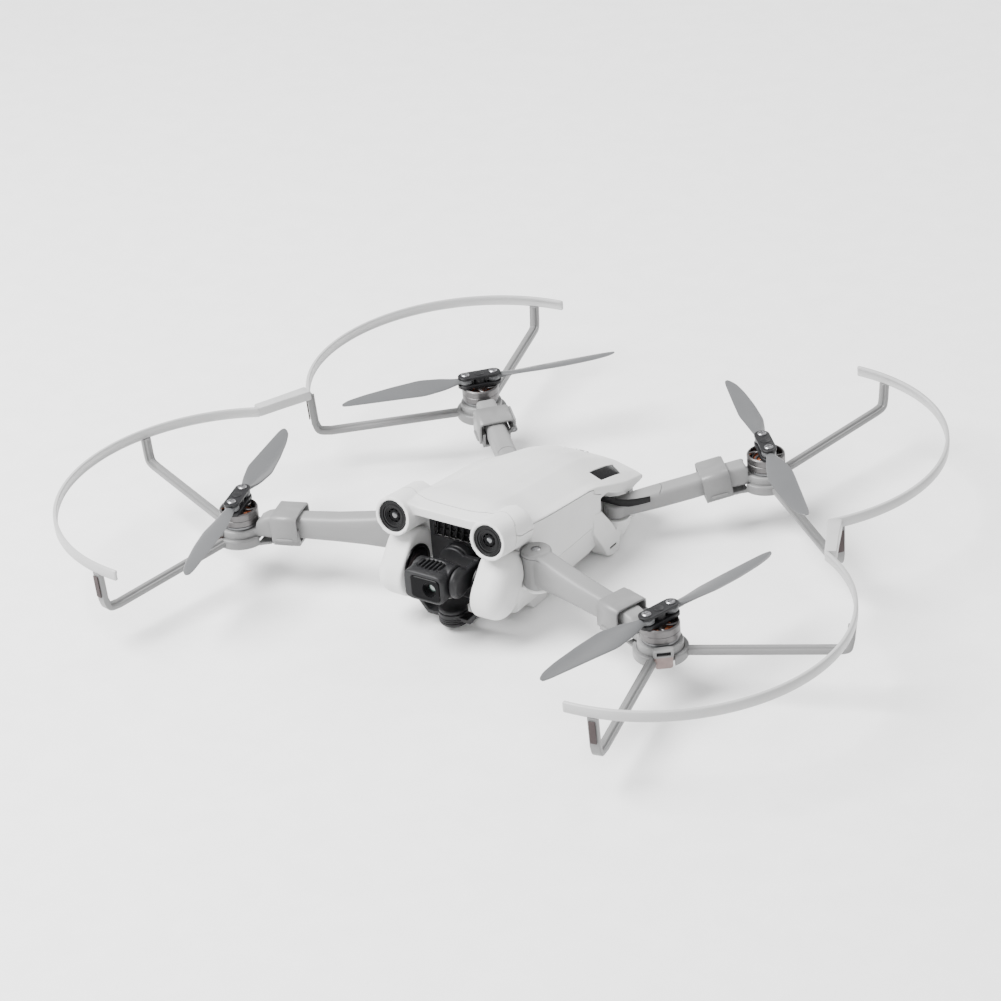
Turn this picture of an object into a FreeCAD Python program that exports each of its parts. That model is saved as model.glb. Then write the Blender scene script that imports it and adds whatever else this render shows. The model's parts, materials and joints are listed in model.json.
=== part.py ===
import FreeCAD, Part
import Sketcher
import math
import os

# Small folding camera drone with clip-on propeller guards.
# Millimetres. +Z is up, the nose points along -Y, the aircraft's left side is +X.
# The origin is on the ground, midway between the front and rear motors.

V = FreeCAD.Vector
SIDES = (("left", 1), ("right", -1))
CORNERS = (
    ("front_left", 1, -1),
    ("front_right", -1, -1),
    ("rear_left", 1, 1),
    ("rear_right", -1, 1),
)

os.makedirs("parts", exist_ok=True)
doc = FreeCAD.newDocument("camera_drone")
sheet = doc.addObject("Spreadsheet::Sheet", "dims")

DIMENSIONS = (
    # motors and wheelbase
    ("front_motor_x", 114.0),
    ("rear_motor_x", 80.5),
    ("motor_y", 76.0),
    ("bell_radius", 9.0),
    ("bell_bottom_z", 30.4),
    ("bell_top_z", 37.2),
    ("stator_radius", 6.6),
    ("shaft_radius", 1.5),
    ("shaft_bore_radius", 1.55),
    ("motor_seat_z", 28.5),
    ("motor_cup_radius", 10.2),
    ("motor_cup_bottom_z", 21.0),
    # propellers
    ("propeller_radius", 69.5),
    ("blade_pivot_x", 7.0),
    ("blade_eye_radius", 3.4),
    ("blade_pin_radius", 1.2),
    ("blade_bore_radius", 1.26),
    ("blade_eye_thickness", 2.4),
    ("hub_lower_plate", 2.0),
    ("hub_upper_plate", 1.4),
    ("hub_core_radius", 3.0),
    # body shells
    ("shell_wall", 1.8),
    ("belly_z", 6.0),
    ("eye_x", 25.6),
    ("eye_front_y", -75.0),
    ("eye_front_z", 53.2),
    ("eye_housing_radius", 9.3),
    ("eye_bore_radius", 7.5),
    ("eye_tilt_deg", 8.0),
    ("cheek_inner_x", 18.5),
    ("cheek_outer_x", 34.0),
    ("cheek_radius", 10.5),
    # battery
    ("battery_half_width", 19.8),
    ("battery_bottom_z", 7.6),
    ("battery_top_z", 23.6),
    ("battery_front_y", -32.0),
    ("battery_gap", 0.3),
    ("board_thickness", 1.2),
    ("board_z", 31.0),
    ("board_y", -28.0),
    ("antenna_width", 18.0),
    ("antenna_height", 5.0),
    ("tail_cap_start_y", 46.3),
    ("tail_cap_end_y", 52.5),
    # arms
    ("front_hinge_x", 36.5),
    ("front_hinge_y", -53.5),
    ("front_hinge_radius", 7.0),
    ("rear_hinge_x", 27.3),
    ("rear_hinge_y", 27.0),
    ("rear_hinge_z", 18.2),
    ("rear_hinge_radius", 5.6),
    ("hinge_pin_radius", 1.6),
    # gimbal camera
    ("yoke_disc_radius", 7.5),
    ("gimbal_axis_y", -70.0),
    ("camera_axis_y", -80.0),
    ("camera_axis_z", 31.2),
    # propeller guards
    ("ring_offset_x", 1.5),
    ("ring_outer_radius", 84.0),
    ("ring_band_thickness", 1.9),
    ("ring_bottom_z", 40.0),
    ("ring_top_z", 45.0),
    ("spoke_width", 4.6),
    ("spoke_height", 3.6),
    ("strap_thickness", 1.3),
    ("strap_distance", 25.0),
    ("strap_length", 13.0),
    ("strap_pin_radius", 0.9),
    ("strap_bore_radius", 0.95),
)


def fill_sheet():
    for row, (alias, value) in enumerate(DIMENSIONS, start=1):
        sheet.set("A%d" % row, alias)
        sheet.set("B%d" % row, str(value))
        sheet.setAlias("B%d" % row, alias)
    doc.recompute()


fill_sheet()


def dim(alias):
    return float(sheet.get(alias))


# ---------------------------------------------------------------- helpers

def bind(item, **expressions):
    """Bind an object's properties to the sheet; dots in a property's name are written as __."""
    for name, expression in expressions.items():
        item.setExpression(name.replace("__", "."), expression)


def bound_box(label, position, **sizes):
    """A sub-part that is one box, its sizes bound to the sheet."""
    item = doc.addObject("Part::Box", label)
    item.Label = label
    bind(item, **sizes)
    item.Placement = FreeCAD.Placement(position, FreeCAD.Rotation())
    nodes.append(item)
    return item


def feature(label, shape, placement=None):
    """A sub-part whose shape is set directly; its sizes come from the sheet."""
    item = doc.addObject("Part::Feature", label)
    item.Label = label
    item.Shape = shape
    if placement is not None:
        item.Placement = placement
    nodes.append(item)
    return item


def mirrored(shape, side):
    """The shape as modelled on the left (+X) side, or its mirror image."""
    if side > 0:
        return shape.copy()
    return shape.mirror(V(0, 0, 0), V(1, 0, 0))


def box(x0, x1, y0, y1, z0, z1):
    return Part.makeBox(x1 - x0, y1 - y0, z1 - z0, V(x0, y0, z0))


def rod(radius, start, end):
    start = V(*start)
    axis = V(*end) - start
    return Part.makeCylinder(radius, axis.Length, start, axis)


def polygon_wire(points):
    return Part.makePolygon([V(*p) for p in points] + [V(*points[0])])


def prism(points, direction):
    """A flat outline pushed along a direction."""
    return Part.Face(polygon_wire(points)).extrude(V(*direction))


def loft(wires, ruled=True):
    return Part.makeLoft(wires, True, ruled)


def rounded_outline(centre, across, upward, width, height, radius):
    """A closed rounded rectangle centred on a point, in the plane of two unit vectors."""
    across = V(*across)
    upward = V(*upward)
    centre = V(*centre)
    half_w = width / 2 - radius
    half_h = height / 2 - radius
    edges = []
    corners = ((1, 1), (-1, 1), (-1, -1), (1, -1))
    for index, (sx, sy) in enumerate(corners):
        mid = centre + across * (half_w * sx) + upward * (half_h * sy)
        start_angle = index * math.pi / 2
        arc = [
            mid + across * (radius * math.cos(start_angle + turn))
            + upward * (radius * math.sin(start_angle + turn))
            for turn in (0, math.pi / 4, math.pi / 2)
        ]
        edges.append(arc)
    pieces = []
    for index, arc in enumerate(edges):
        following = edges[(index + 1) % 4]
        pieces.append(Part.Arc(*arc).toShape())
        pieces.append(Part.LineSegment(arc[2], following[0]).toShape())
    return Part.Wire(pieces)


def bar(start, end, width, height, radius, end_width=None, end_height=None):
    """A rounded bar between two points, its section upright, with optional taper."""
    start = V(*start)
    end = V(*end)
    along = (end - start).normalize()
    across = along.cross(V(0, 0, 1)).normalize()
    upward = across.cross(along)
    first = rounded_outline(start, across, upward, width, height, radius)
    last = rounded_outline(
        end, across, upward, end_width or width, end_height or height, radius
    )
    return loft([first, last])


def fused(shapes):
    return shapes[0].multiFuse(shapes[1:]).removeSplitter()


def motor_xy(side, end):
    x = dim("front_motor_x") if end < 0 else dim("rear_motor_x")
    return side * x, end * dim("motor_y")


def motor_sides(x, y):
    """Which side and which end a motor is on: (1 left, -1 right), (-1 front, 1 rear)."""
    return (1 if x > 0 else -1), (1 if y > 0 else -1)


def motor_x_expression(side, end):
    return "%d * dims.%s" % (side, "front_motor_x" if end < 0 else "rear_motor_x")


nodes = []

# ---------------------------------------------------------------- body shells

# Stations along the body: distance along Y, roof height on the centre line,
# crease (x, z), shoulder (x, z), side (x, z) and hem height of the top shell.
STATIONS = (
    (-71.0, 58.6, 14.0, 58.8, 24.0, 60.6, 27.0, 58.6, 54.4),
    (-57.0, 61.2, 16.0, 60.6, 27.0, 57.4, 31.0, 53.4, 49.4),
    (-37.0, 57.4, 16.0, 55.6, 27.6, 49.4, 32.0, 47.4, 46.4),
    (2.6, 51.4, 14.5, 49.4, 27.6, 42.4, 32.0, 41.4, 40.4),
    (17.0, 48.6, 14.0, 46.4, 27.2, 39.2, 31.8, 37.2, 33.0),
    (32.0, 42.2, 13.0, 40.4, 25.6, 35.0, 31.2, 31.4, 25.2),
    (49.5, 30.8, 14.0, 30.2, 25.0, 27.4, 28.6, 26.0, 24.1),
)

# The lower shell's half width at the hem and the belly for the same stations.
BELLY_HALF_WIDTH = {-57.0: 25.0, -37.0: 25.5, 2.6: 26.0, 17.0: 24.0, 32.0: 24.0, 46.0: 24.0}


def station_at(y):
    """The station values at a distance along the body, interpolated."""
    for near, far in zip(STATIONS, STATIONS[1:]):
        if near[0] <= y <= far[0]:
            share = (y - near[0]) / (far[0] - near[0])
            return tuple(a + (b - a) * share for a, b in zip(near, far))
    raise ValueError("no station at %s" % y)


def roof_section(station, inset, drop):
    """The closed section under the roof line, inset all round and dropped below the hem."""
    y, roof, crease_x, crease_z, shoulder_x, shoulder_z, side_x, side_z, hem = station
    half = (
        (crease_x, crease_z - inset),
        (shoulder_x - inset * 0.7, shoulder_z - inset),
        (side_x - inset, side_z - inset),
        (side_x - inset, hem - drop),
    )
    left = [(x, y, z) for x, z in half]
    right = [(-x, y, z) for x, z in reversed(half)]
    return polygon_wire([(0, y, roof - inset)] + left + right)


def eye_axis():
    tilt = math.radians(dim("eye_tilt_deg"))
    return V(0, -math.cos(tilt), math.sin(tilt))


def eye_cylinder(radius, depth, proud=0.0):
    """A cylinder on the eye's axis that ends at the front face, plus any amount proud of it."""
    front = V(dim("eye_x"), dim("eye_front_y"), dim("eye_front_z"))
    return Part.makeCylinder(radius, depth + proud, front - eye_axis() * depth, eye_axis())


def roof_normal():
    """The outward normal of the sloping roof between the last two stations."""
    near, far = STATIONS[-2], STATIONS[-1]
    slope = V(0, far[0] - near[0], far[1] - near[1]).normalize()
    return V(1, 0, 0).cross(slope)


def roof_point(x, y):
    return V(x, y, station_at(y)[1])


BUTTON_Y = 42.5
INDICATOR_Y = 36.5
INDICATOR_X = (-6.0, -2.0, 2.0, 6.0)
BUTTON_RADIUS = 3.2
BUTTON_CLEARANCE = 0.06
PORT_Z = 27.0


def make_top_shell():
    wall = dim("shell_wall")
    outer = loft([roof_section(s, 0, 0) for s in STATIONS])
    inner_stations = [station_at(-64.0)] + list(STATIONS[1:-1]) + [station_at(47.4)]
    inner = loft([roof_section(s, wall, 6) for s in inner_stations])
    shell = outer.cut(inner)
    housings = [mirrored(eye_cylinder(dim("eye_housing_radius"), 24), s) for _, s in SIDES]
    shell = fused([shell] + housings)
    for _, side in SIDES:
        shell = shell.cut(mirrored(eye_cylinder(dim("eye_bore_radius"), 20, 1), side))
        shell = shell.cut(mirrored(rear_window_block(0.05, 3), side))
    normal = roof_normal()
    for x in INDICATOR_X:
        start = roof_point(x, INDICATOR_Y) - normal * 4
        shell = shell.cut(Part.makeCylinder(0.75, 8, start, normal))
    start = roof_point(0, BUTTON_Y) - normal * 4
    shell = shell.cut(Part.makeCylinder(BUTTON_RADIUS + BUTTON_CLEARANCE, 8, start, normal))
    shell = shell.cut(box(4.9, 15.1, 46, 51, PORT_Z - 1.75, PORT_Z + 1.75))
    shell = shell.cut(box(-15.1, -3.9, 46, 51, PORT_Z - 0.95, PORT_Z + 0.95))
    return feature("top_shell", shell)


def rear_window_outline(grow):
    """The slanted four-sided outline of a rear sensor window, seen from above."""
    return (
        (19.2 - grow, 38.6 + grow),
        (26.0 + grow, 34.4 + grow),
        (27.4 + grow, 16.0 - grow),
        (21.8 - grow, 14.8 - grow),
    )


def rear_window_block(grow, depth):
    """A vertical block through the sloping roof at the rear sensor window."""
    points = [(x, y, 30.0) for x, y in rear_window_outline(grow)]
    return prism(points, (0, 0, 18 + depth))


def front_arm_clearance(z0=22.7, z1=41.9):
    """Room for the front arm's hinge barrel."""
    radius = dim("front_hinge_radius") + 0.3
    hinge = (dim("front_hinge_x"), dim("front_hinge_y"))
    return Part.makeCylinder(radius, z1 - z0, V(hinge[0], hinge[1], z0))


def front_hinge_lugs():
    """Ears of the lower shell above and below the front hinge barrel."""
    x, y = dim("front_hinge_x"), dim("front_hinge_y")
    ears = []
    for z0, z1 in ((20.6, 22.7), (41.9, 43.8)):
        ears.append(Part.makeCylinder(6.2, z1 - z0, V(x, y, z0)))
        ears.append(box(28.0, x, -57.0, y + 6.2, z0, z1))
    return ears


def front_pin(radius):
    x, y = dim("front_hinge_x"), dim("front_hinge_y")
    return rod(radius, (x, y, 20.6), (x, y, 43.8))


def rear_pin(radius):
    hinge = V(dim("rear_hinge_x"), dim("rear_hinge_y"), dim("rear_hinge_z"))
    axis = rear_hinge_axis()
    return rod(radius, tuple(hinge - axis * 8.6), tuple(hinge + axis * 6.7))


def lower_section(y, inset, floor, ceiling=None):
    """Section of the lower shell between the hem and the belly."""
    station = station_at(y)
    side_x, hem = station[6] - inset, station[8]
    top = ceiling if ceiling is not None else hem
    belly = BELLY_HALF_WIDTH[y] - inset
    points = [(side_x, y, top), (side_x - 1.5, y, 22.0), (belly, y, floor)]
    return polygon_wire(points + [(-x, y, z) for x, y, z in reversed(points)])


def rear_arm_pocket():
    """The space beside the battery where a rear arm's knuckle turns."""
    return box(21.4, 40, 9, 47, 11.6, 34.5)


def make_lower_shell():
    wall = dim("shell_wall")
    gap = dim("battery_gap")
    ys = sorted(BELLY_HALF_WIDTH)
    hull = loft([lower_section(y, 0, dim("belly_z")) for y in ys])
    bay_roof = dim("battery_top_z") + gap + 1.4
    cavity = box(-29.6, 29.6, ys[0] + wall, 8.0, bay_roof, 52)
    cavity = cavity.common(loft([lower_section(y, wall, 5, 52) for y in ys[:3]]).fuse(
        box(-29.6, 29.6, 2.6, 8.0, 20, 52)))
    rear_cavity = box(-19.6, 19.6, 8.0, 44.0, bay_roof, 40)
    half = dim("battery_half_width") + gap
    bay = box(-half, half, dim("battery_front_y") - gap, 60,
              dim("battery_bottom_z") - gap, dim("battery_top_z") + gap)
    nose_pocket = box(-22, 22, ys[0] + wall, dim("battery_front_y") - 2.2, 8.0, 30)
    shell = hull.cut(cavity).cut(rear_cavity).cut(bay).cut(nose_pocket)
    for _, side in SIDES:
        shell = shell.cut(mirrored(rear_arm_pocket(), side))
    ears = [mirrored(ear, side) for _, side in SIDES for ear in front_hinge_lugs()]
    ears += [mirrored(box(20.8, 29.4, 21.5, 29.0, 23.8, 25.0), side) for _, side in SIDES]
    shell = fused([shell] + ears)
    for _, side in SIDES:
        shell = shell.cut(mirrored(front_arm_clearance(), side))
        shell = shell.cut(mirrored(front_pin(dim("hinge_pin_radius")), side))
        shell = shell.cut(mirrored(rear_pin(dim("hinge_pin_radius")), side))
        shell = shell.cut(mirrored(eye_cylinder(dim("eye_housing_radius") + 0.05, 24.1), side))
    shell = shell.cut(box(-16.05, 16.05, -60, -50, 36.95, 50))
    for pane in belly_panes():
        shell = shell.cut(pane)
    return feature("lower_shell", shell)


def cheek_outline(radius):
    """Side outline of a cheek: a leaning rounded slot shape, as a flat face at x = 0."""
    high = V(0, -65.0, 32.6)
    low = V(0, -72.4, 23.6)
    along = (high - low).normalize()
    side = V(1, 0, 0).cross(along)
    arcs = (
        (low + side * radius, low - along * radius, low - side * radius),
        (high - side * radius, high + along * radius, high + side * radius),
    )
    edges = []
    for index, arc in enumerate(arcs):
        edges.append(Part.Arc(*arc).toShape())
        edges.append(Part.LineSegment(arc[2], arcs[1 - index][0]).toShape())
    return Part.Face(Part.Wire(edges))


def make_cheek(name, side):
    """One of the two rounded pods that stand forward on each side of the camera."""
    inner = dim("cheek_inner_x")
    width = dim("cheek_outer_x") - inner
    pod = cheek_outline(dim("cheek_radius")).extrude(V(width, 0, 0))
    pod.translate(V(inner, 0, 0))
    outer_edges = [e for e in pod.Edges if e.BoundBox.XMin > inner + width - 0.01]
    pod = pod.makeFillet(5.5, outer_edges)
    inner_edges = [e for e in pod.Edges if e.BoundBox.XMax < inner + 0.01]
    pod = pod.makeFillet(1.0, inner_edges)
    root = box(inner + 1, 30, -66, -57, 16, 40)
    pod = pod.fuse(root).cut(front_arm_clearance(18, 46))
    pod = pod.cut(box(10, 40, -57, -40, 0, 60))
    pod = pod.cut(eye_cylinder(dim("eye_housing_radius") + 0.05, 24))
    pod = pod.cut(rod(dim("yoke_disc_radius") + 0.1, (inner - 1, -71, 26), (inner + 1.2, -71, 26)))
    return feature("cheek_" + name, mirrored(pod.removeSplitter(), side))


def make_feet():
    """Landing feet: two pads under the front of the belly, two wedges under the rear hinges."""
    belly = dim("belly_z")
    hull = loft([lower_section(y, 0, belly) for y in sorted(BELLY_HALF_WIDTH)])
    outline = ((17.5, -45, belly), (17.5, -41, 0), (17.5, -30, 0), (17.5, -24, belly))
    front = prism(outline, (6.5, 0, 0))
    outline = (
        (21.5, 4.0, 11.4), (21.5, 4.0, belly + 0.5), (21.5, 16.5, 0), (21.5, 28.5, 0),
        (21.5, 43.5, 8.4), (21.5, 44.5, 11.4),
    )
    rear = prism(outline, (8.0, 0, 0)).cut(hull).cut(rear_pin(dim("hinge_pin_radius")))
    feet = [mirrored(foot, side) for _, side in SIDES for foot in (front, rear)]
    feature("landing_feet", Part.makeCompound(feet))


def make_nose_grille():
    """Air intake grille on the nose wall, with slanted slats."""
    plate = box(-16, 16, -57.0, -55.4, 37, 49.2)
    frame = plate.cut(box(-14.6, 14.6, -58, -54, 38.4, 47.8))
    slats = []
    for index in range(7):
        x = -12.0 + 4.0 * index
        outline = (
            (x - 1.7, -56.9, 38.3), (x - 0.5, -56.9, 38.3),
            (x + 1.7, -56.9, 47.9), (x + 0.5, -56.9, 47.9),
        )
        slats.append(prism(outline, (0, 1.3, 0)))
    return feature("nose_grille", fused([frame] + slats))


def make_eyes():
    """Forward sensor modules: a barrel with a recessed lens for each eye."""
    bezels = []
    lenses = []
    for _, side in SIDES:
        barrel = eye_cylinder(7.4, 12, -0.6)
        barrel = barrel.cut(eye_cylinder(3.6, 2.4, 1))
        bezels.append(mirrored(barrel, side))
        glass = Part.makeSphere(4.2)
        front = V(dim("eye_x"), dim("eye_front_y"), dim("eye_front_z"))
        glass.translate(front - eye_axis() * 5.6)
        lens = glass.common(eye_cylinder(3.5, 2.35))
        lenses.append(mirrored(lens, side))
    feature("eye_barrels", Part.makeCompound(bezels))
    feature("eye_lenses", Part.makeCompound(lenses))


def make_rear_windows():
    """Dark slanted windows of the rear sensors, flush with the roof."""
    wall = dim("shell_wall")
    stations = [station_at(13.0), STATIONS[4], STATIONS[5], station_at(40.0)]
    outer = loft([roof_section(s, 0.25, 0) for s in stations])
    inner = loft([roof_section(s, wall, 4) for s in stations])
    skin = outer.cut(inner)
    panes = [mirrored(skin.common(rear_window_block(0, 3)), s) for _, s in SIDES]
    feature("rear_sensor_windows", Part.makeCompound(panes))


LAMP_ANGLE = -52.0
LAMP_REACH = 12.6
LAMP_HALF_WIDTH = 3.4
LAMP_BOTTOM_Z = 18.4
LAMP_TOP_Z = 27.0


def on_lamp_side(shape):
    """Turn a shape modelled along X to the lamp's side of the left front motor."""
    x, y = motor_xy(1, -1)
    shape.Placement = FreeCAD.Placement(V(x, y, 0), FreeCAD.Rotation(V(0, 0, 1), LAMP_ANGLE))
    return shape


def lamp_opening():
    """The room that the left guard's clip ring leaves round the lamp."""
    half_width = LAMP_HALF_WIDTH + 0.3
    return on_lamp_side(box(5.0, 20.0, -half_width, half_width, 10.0, 40.0))


def make_indicators():
    """Battery level light pipes in the roof, and a lamp on the outside of each front motor cup."""
    normal = roof_normal()
    x, y = motor_xy(1, -1)
    cup_bottom = dim("motor_cup_bottom_z")
    lamp = on_lamp_side(box(7.0, LAMP_REACH, -LAMP_HALF_WIDTH, LAMP_HALF_WIDTH, LAMP_BOTTOM_Z, LAMP_TOP_Z))
    cup = Part.makeCylinder(dim("motor_cup_radius"), dim("motor_seat_z") - cup_bottom, V(x, y, cup_bottom))
    pipes = [mirrored(lamp.cut(cup), side) for _, side in SIDES]
    for x in INDICATOR_X:
        start = roof_point(x, INDICATOR_Y) - normal * 2.2
        pipes.append(Part.makeCylinder(0.7, 2.2, start, normal))
    feature("status_lights", Part.makeCompound(pipes))


def make_power_button():
    normal = roof_normal()
    start = roof_point(0, BUTTON_Y) - normal * 2.6
    cap = Part.makeCylinder(BUTTON_RADIUS, 2.9, start, normal)
    cap = cap.makeFillet(0.3, [cap.Edges[0]])
    feature("power_button", cap)


def make_ports():
    """Charging socket and memory card slot in the tail wall."""
    shell = box(5.0, 15.0, 43.0, 48.9, PORT_Z - 1.7, PORT_Z + 1.7)
    shell = shell.cut(box(5.5, 14.5, 44.0, 50, PORT_Z - 1.2, PORT_Z + 1.2))
    tongue = box(6.6, 13.4, 43.9, 47.6, PORT_Z - 0.35, PORT_Z + 0.35)
    slot = box(-15.0, -4.0, 38.0, 48.9, PORT_Z - 0.9, PORT_Z + 0.9)
    slot = slot.cut(box(-14.5, -4.5, 39.0, 50, PORT_Z - 0.5, PORT_Z + 0.5))
    feature("tail_ports", Part.makeCompound([fused([shell, tongue]), slot]))


# ---------------------------------------------------------------- inside the body

def make_main_board():
    """Main circuit board with four screw holes."""
    body = doc.addObject("PartDesign::Body", "main_board")
    body.Label = "main_board"
    sketch = body.newObject("Sketcher::SketchObject", "main_board_outline")
    plane = next(f for f in body.Origin.OriginFeatures if f.Role == "XY_Plane")
    sketch.AttachmentSupport = [(plane, "")]
    sketch.MapMode = "FlatFace"
    corners = [V(-19, -22, 0), V(19, -22, 0), V(19, 22, 0), V(-19, 22, 0)]
    for start, end in zip(corners, corners[1:] + corners[:1]):
        sketch.addGeometry(Part.LineSegment(start, end))
    for x in (-16, 16):
        for y in (-19, 19):
            sketch.addGeometry(Part.Circle(V(x, y, 0), V(0, 0, 1), 1.1))
    pad = body.newObject("PartDesign::Pad", "main_board_pad")
    pad.Profile = sketch
    bind(pad, Length="dims.board_thickness")
    bind(body, Placement__Base__y="dims.board_y", Placement__Base__z="dims.board_z")
    nodes.append(body)


def make_cooling():
    """Radial cooling fan and finned heat sink that draw air through the nose grille."""
    housing = Part.makeCylinder(12.5, 7.0, V(0, -36, 33.0))
    housing = housing.cut(Part.makeCylinder(11.3, 7.0, V(0, -36, 34.0)))
    housing = housing.fuse(Part.makeCylinder(1.0, 5.5, V(0, -36, 33.5)))
    hub = Part.makeCylinder(4.5, 4.8, V(0, -36, 34.6))
    vanes = []
    for index in range(9):
        vane = box(4.2, 10.6, -0.4, 0.4, 34.8, 39.2)
        vane.rotate(V(0, 0, 0), V(0, 0, 1), index * 40)
        vane.translate(V(0, -36, 0))
        vanes.append(vane)
    rotor = fused([hub] + vanes).cut(Part.makeCylinder(1.06, 6.0, V(0, -36, 34.0)))
    feature("fan_rotor", rotor)
    base = box(-15, 15, -20, -8, 32.6, 34.0)
    fins = [box(x, x + 1.0, -20, -8, 33.9, 39.5) for x in range(-15, 15, 3)]
    feature("cooling_module", Part.makeCompound([housing.removeSplitter(), fused([base] + fins)]))


def make_positioning_module():
    """Satellite positioning antenna under the roof."""
    bound_box("satellite_antenna", V(-9, 10, 27.6), Length="dims.antenna_width",
              Width="dims.antenna_width", Height="dims.antenna_height")


def belly_panes():
    """Downward sensor lenses and the landing light, flush in the belly."""
    belly = dim("belly_z")
    panes = [Part.makeCylinder(3.4, 1.2, V(0, y, belly)) for y in (-50.0, -38.0)]
    panes.append(box(-4.5, 4.5, -33.0, -27.0, belly, belly + 0.9))
    return panes


# ---------------------------------------------------------------- battery

def make_battery():
    half = dim("battery_half_width")
    low = dim("battery_bottom_z")
    high = dim("battery_top_z")
    cap_start = dim("tail_cap_start_y")
    pack = box(-half, half, dim("battery_front_y"), cap_start, low, high)
    pack = pack.makeFillet(2.5, [e for e in pack.Edges if e.BoundBox.YLength > 50])
    feature("battery_pack", pack)
    cap = box(-21.0, 21.0, cap_start, dim("tail_cap_end_y"), belly_of_cap(), high)
    back = [
        e for e in cap.Edges
        if e.BoundBox.YMin > dim("tail_cap_end_y") - 0.01 or e.BoundBox.YLength > 5
    ]
    cap = cap.makeFillet(2.2, back)
    for _, side in SIDES:
        cap = cap.cut(mirrored(box(18.0, 22, 47.45, 51.05, 11.95, 19.05), side))
    feature("battery_tail_cap", cap)
    for name, side in SIDES:
        latch = box(19.6, 21.9, 47.5, 51.0, 12.0, 19.0)
        latch = latch.makeFillet(0.5, [e for e in latch.Edges if e.BoundBox.XMin > 21.8])
        feature("battery_latch_" + name, mirrored(latch, side))


def belly_of_cap():
    return dim("battery_bottom_z") - 0.6


# ---------------------------------------------------------------- arms

def front_arm():
    """Left front arm: vertical hinge barrel, tapering beam and motor cup."""
    hinge_x, hinge_y = dim("front_hinge_x"), dim("front_hinge_y")
    motor_x, motor_y = motor_xy(1, -1)
    barrel = Part.makeCylinder(dim("front_hinge_radius"), 18.6, V(hinge_x, hinge_y, 23.0))
    barrel = barrel.makeFillet(1.2, [barrel.Edges[0], barrel.Edges[2]])
    beam = bar((hinge_x + 2, hinge_y - 0.6, 32.0), (motor_x - 12, motor_y + 3.4, 29.8),
               12.0, 15.0, 3.0, 9.6, 10.4)
    neck = bar((motor_x - 16, motor_y + 4.6, 27.0), (motor_x - 3, motor_y + 0.9, 25.0),
               9.6, 7.0, 2.0, 9.0, 6.0)
    return arm_with_cup([barrel, beam, neck], motor_x, motor_y, front_pin)


def rear_arm():
    """Left rear arm: inclined knuckle, tapering beam and motor cup."""
    motor_x, motor_y = motor_xy(1, 1)
    hinge = V(dim("rear_hinge_x"), dim("rear_hinge_y"), dim("rear_hinge_z"))
    half = 4.4
    tilt = rear_hinge_axis()
    knuckle = Part.makeCylinder(dim("rear_hinge_radius"), 2 * half, hinge - tilt * half, tilt)
    toward = (V(motor_x, motor_y, 27.6) - hinge).normalize()
    start = hinge + toward * 1.0
    end = hinge + toward * (V(motor_x, motor_y, 27.6) - hinge).Length
    beam_end = end - toward * 13.0 + V(0, 0, 2.6)
    beam = bar(tuple(start), tuple(beam_end), 10.4, 9.0, 3.0, 9.6, 10.4)
    neck = bar(tuple(end - toward * 17), tuple(end - toward * 4 + V(0, 0, -2.0)),
               9.6, 7.0, 2.0, 9.0, 6.0)
    return arm_with_cup([knuckle, beam, neck], motor_x, motor_y, rear_pin)


def rear_hinge_axis():
    """Unit vector along the rear arm's inclined fold axis."""
    return V(0.05, -0.05, 1.0).normalize()


def arm_with_cup(pieces, motor_x, motor_y, pin):
    """Join an arm's pieces to its motor cup and bore its hinge pin hole."""
    bottom = dim("motor_cup_bottom_z")
    seat = dim("motor_seat_z")
    radius = dim("motor_cup_radius")
    cup = Part.makeCylinder(radius, seat - bottom, V(motor_x, motor_y, bottom))
    cup = cup.makeFillet(1.4, [e for e in cup.Edges if e.BoundBox.ZMax < bottom + 0.1])
    arm = fused(pieces + [cup])
    above = Part.makeCylinder(radius + 0.6, 20, V(motor_x, motor_y, seat))
    arm = arm.cut(above)
    return arm.cut(pin(dim("hinge_pin_radius"))).removeSplitter()


def make_arms():
    for name, side in SIDES:
        feature("front_arm_" + name, mirrored(front_arm(), side))
        feature("rear_arm_" + name, mirrored(rear_arm(), side))


def make_rear_hinge_covers():
    """Black flexible covers in the slot above each rear knuckle."""
    outline = (
        (22.0, 9.2, 30.0), (22.0, 9.2, 34.4), (22.0, 16.0, 32.6), (22.0, 26.0, 27.4),
        (22.0, 26.0, 25.2),
    )
    cover = prism(outline, (7.2, 0, 0))
    feature("rear_hinge_covers", Part.makeCompound([mirrored(cover, s) for _, s in SIDES]))


# ---------------------------------------------------------------- motors and propellers

def make_stators():
    """Fixed motor bases with wound stators, one per arm."""
    bases = []
    windings = []
    for _, side, end in CORNERS:
        x, y = motor_xy(side, end)
        seat = dim("motor_seat_z")
        bore = Part.makeCylinder(dim("shaft_bore_radius"), 20, V(x, y, seat - 1))
        base = Part.makeCylinder(8.4, 1.5, V(x, y, seat))
        tube = Part.makeCylinder(2.6, 5.9, V(x, y, seat + 1.5))
        bases.append(fused([base, tube]).cut(bore))
        core = Part.makeCylinder(dim("stator_radius"), 4.6, V(x, y, seat + 1.9))
        core = core.cut(Part.makeCylinder(2.6, 10, V(x, y, seat)))
        slots = []
        for index in range(9):
            slot = box(4.4, 8, -0.5, 0.5, seat + 1, seat + 8)
            slot.rotate(V(0, 0, 0), V(0, 0, 1), index * 40)
            slot.translate(V(x, y, 0))
            slots.append(slot)
        windings.append(core.cut(slots[0].multiFuse(slots[1:])))
    feature("motor_bases", Part.makeCompound(bases))
    feature("motor_windings", Part.makeCompound(windings))


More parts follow.
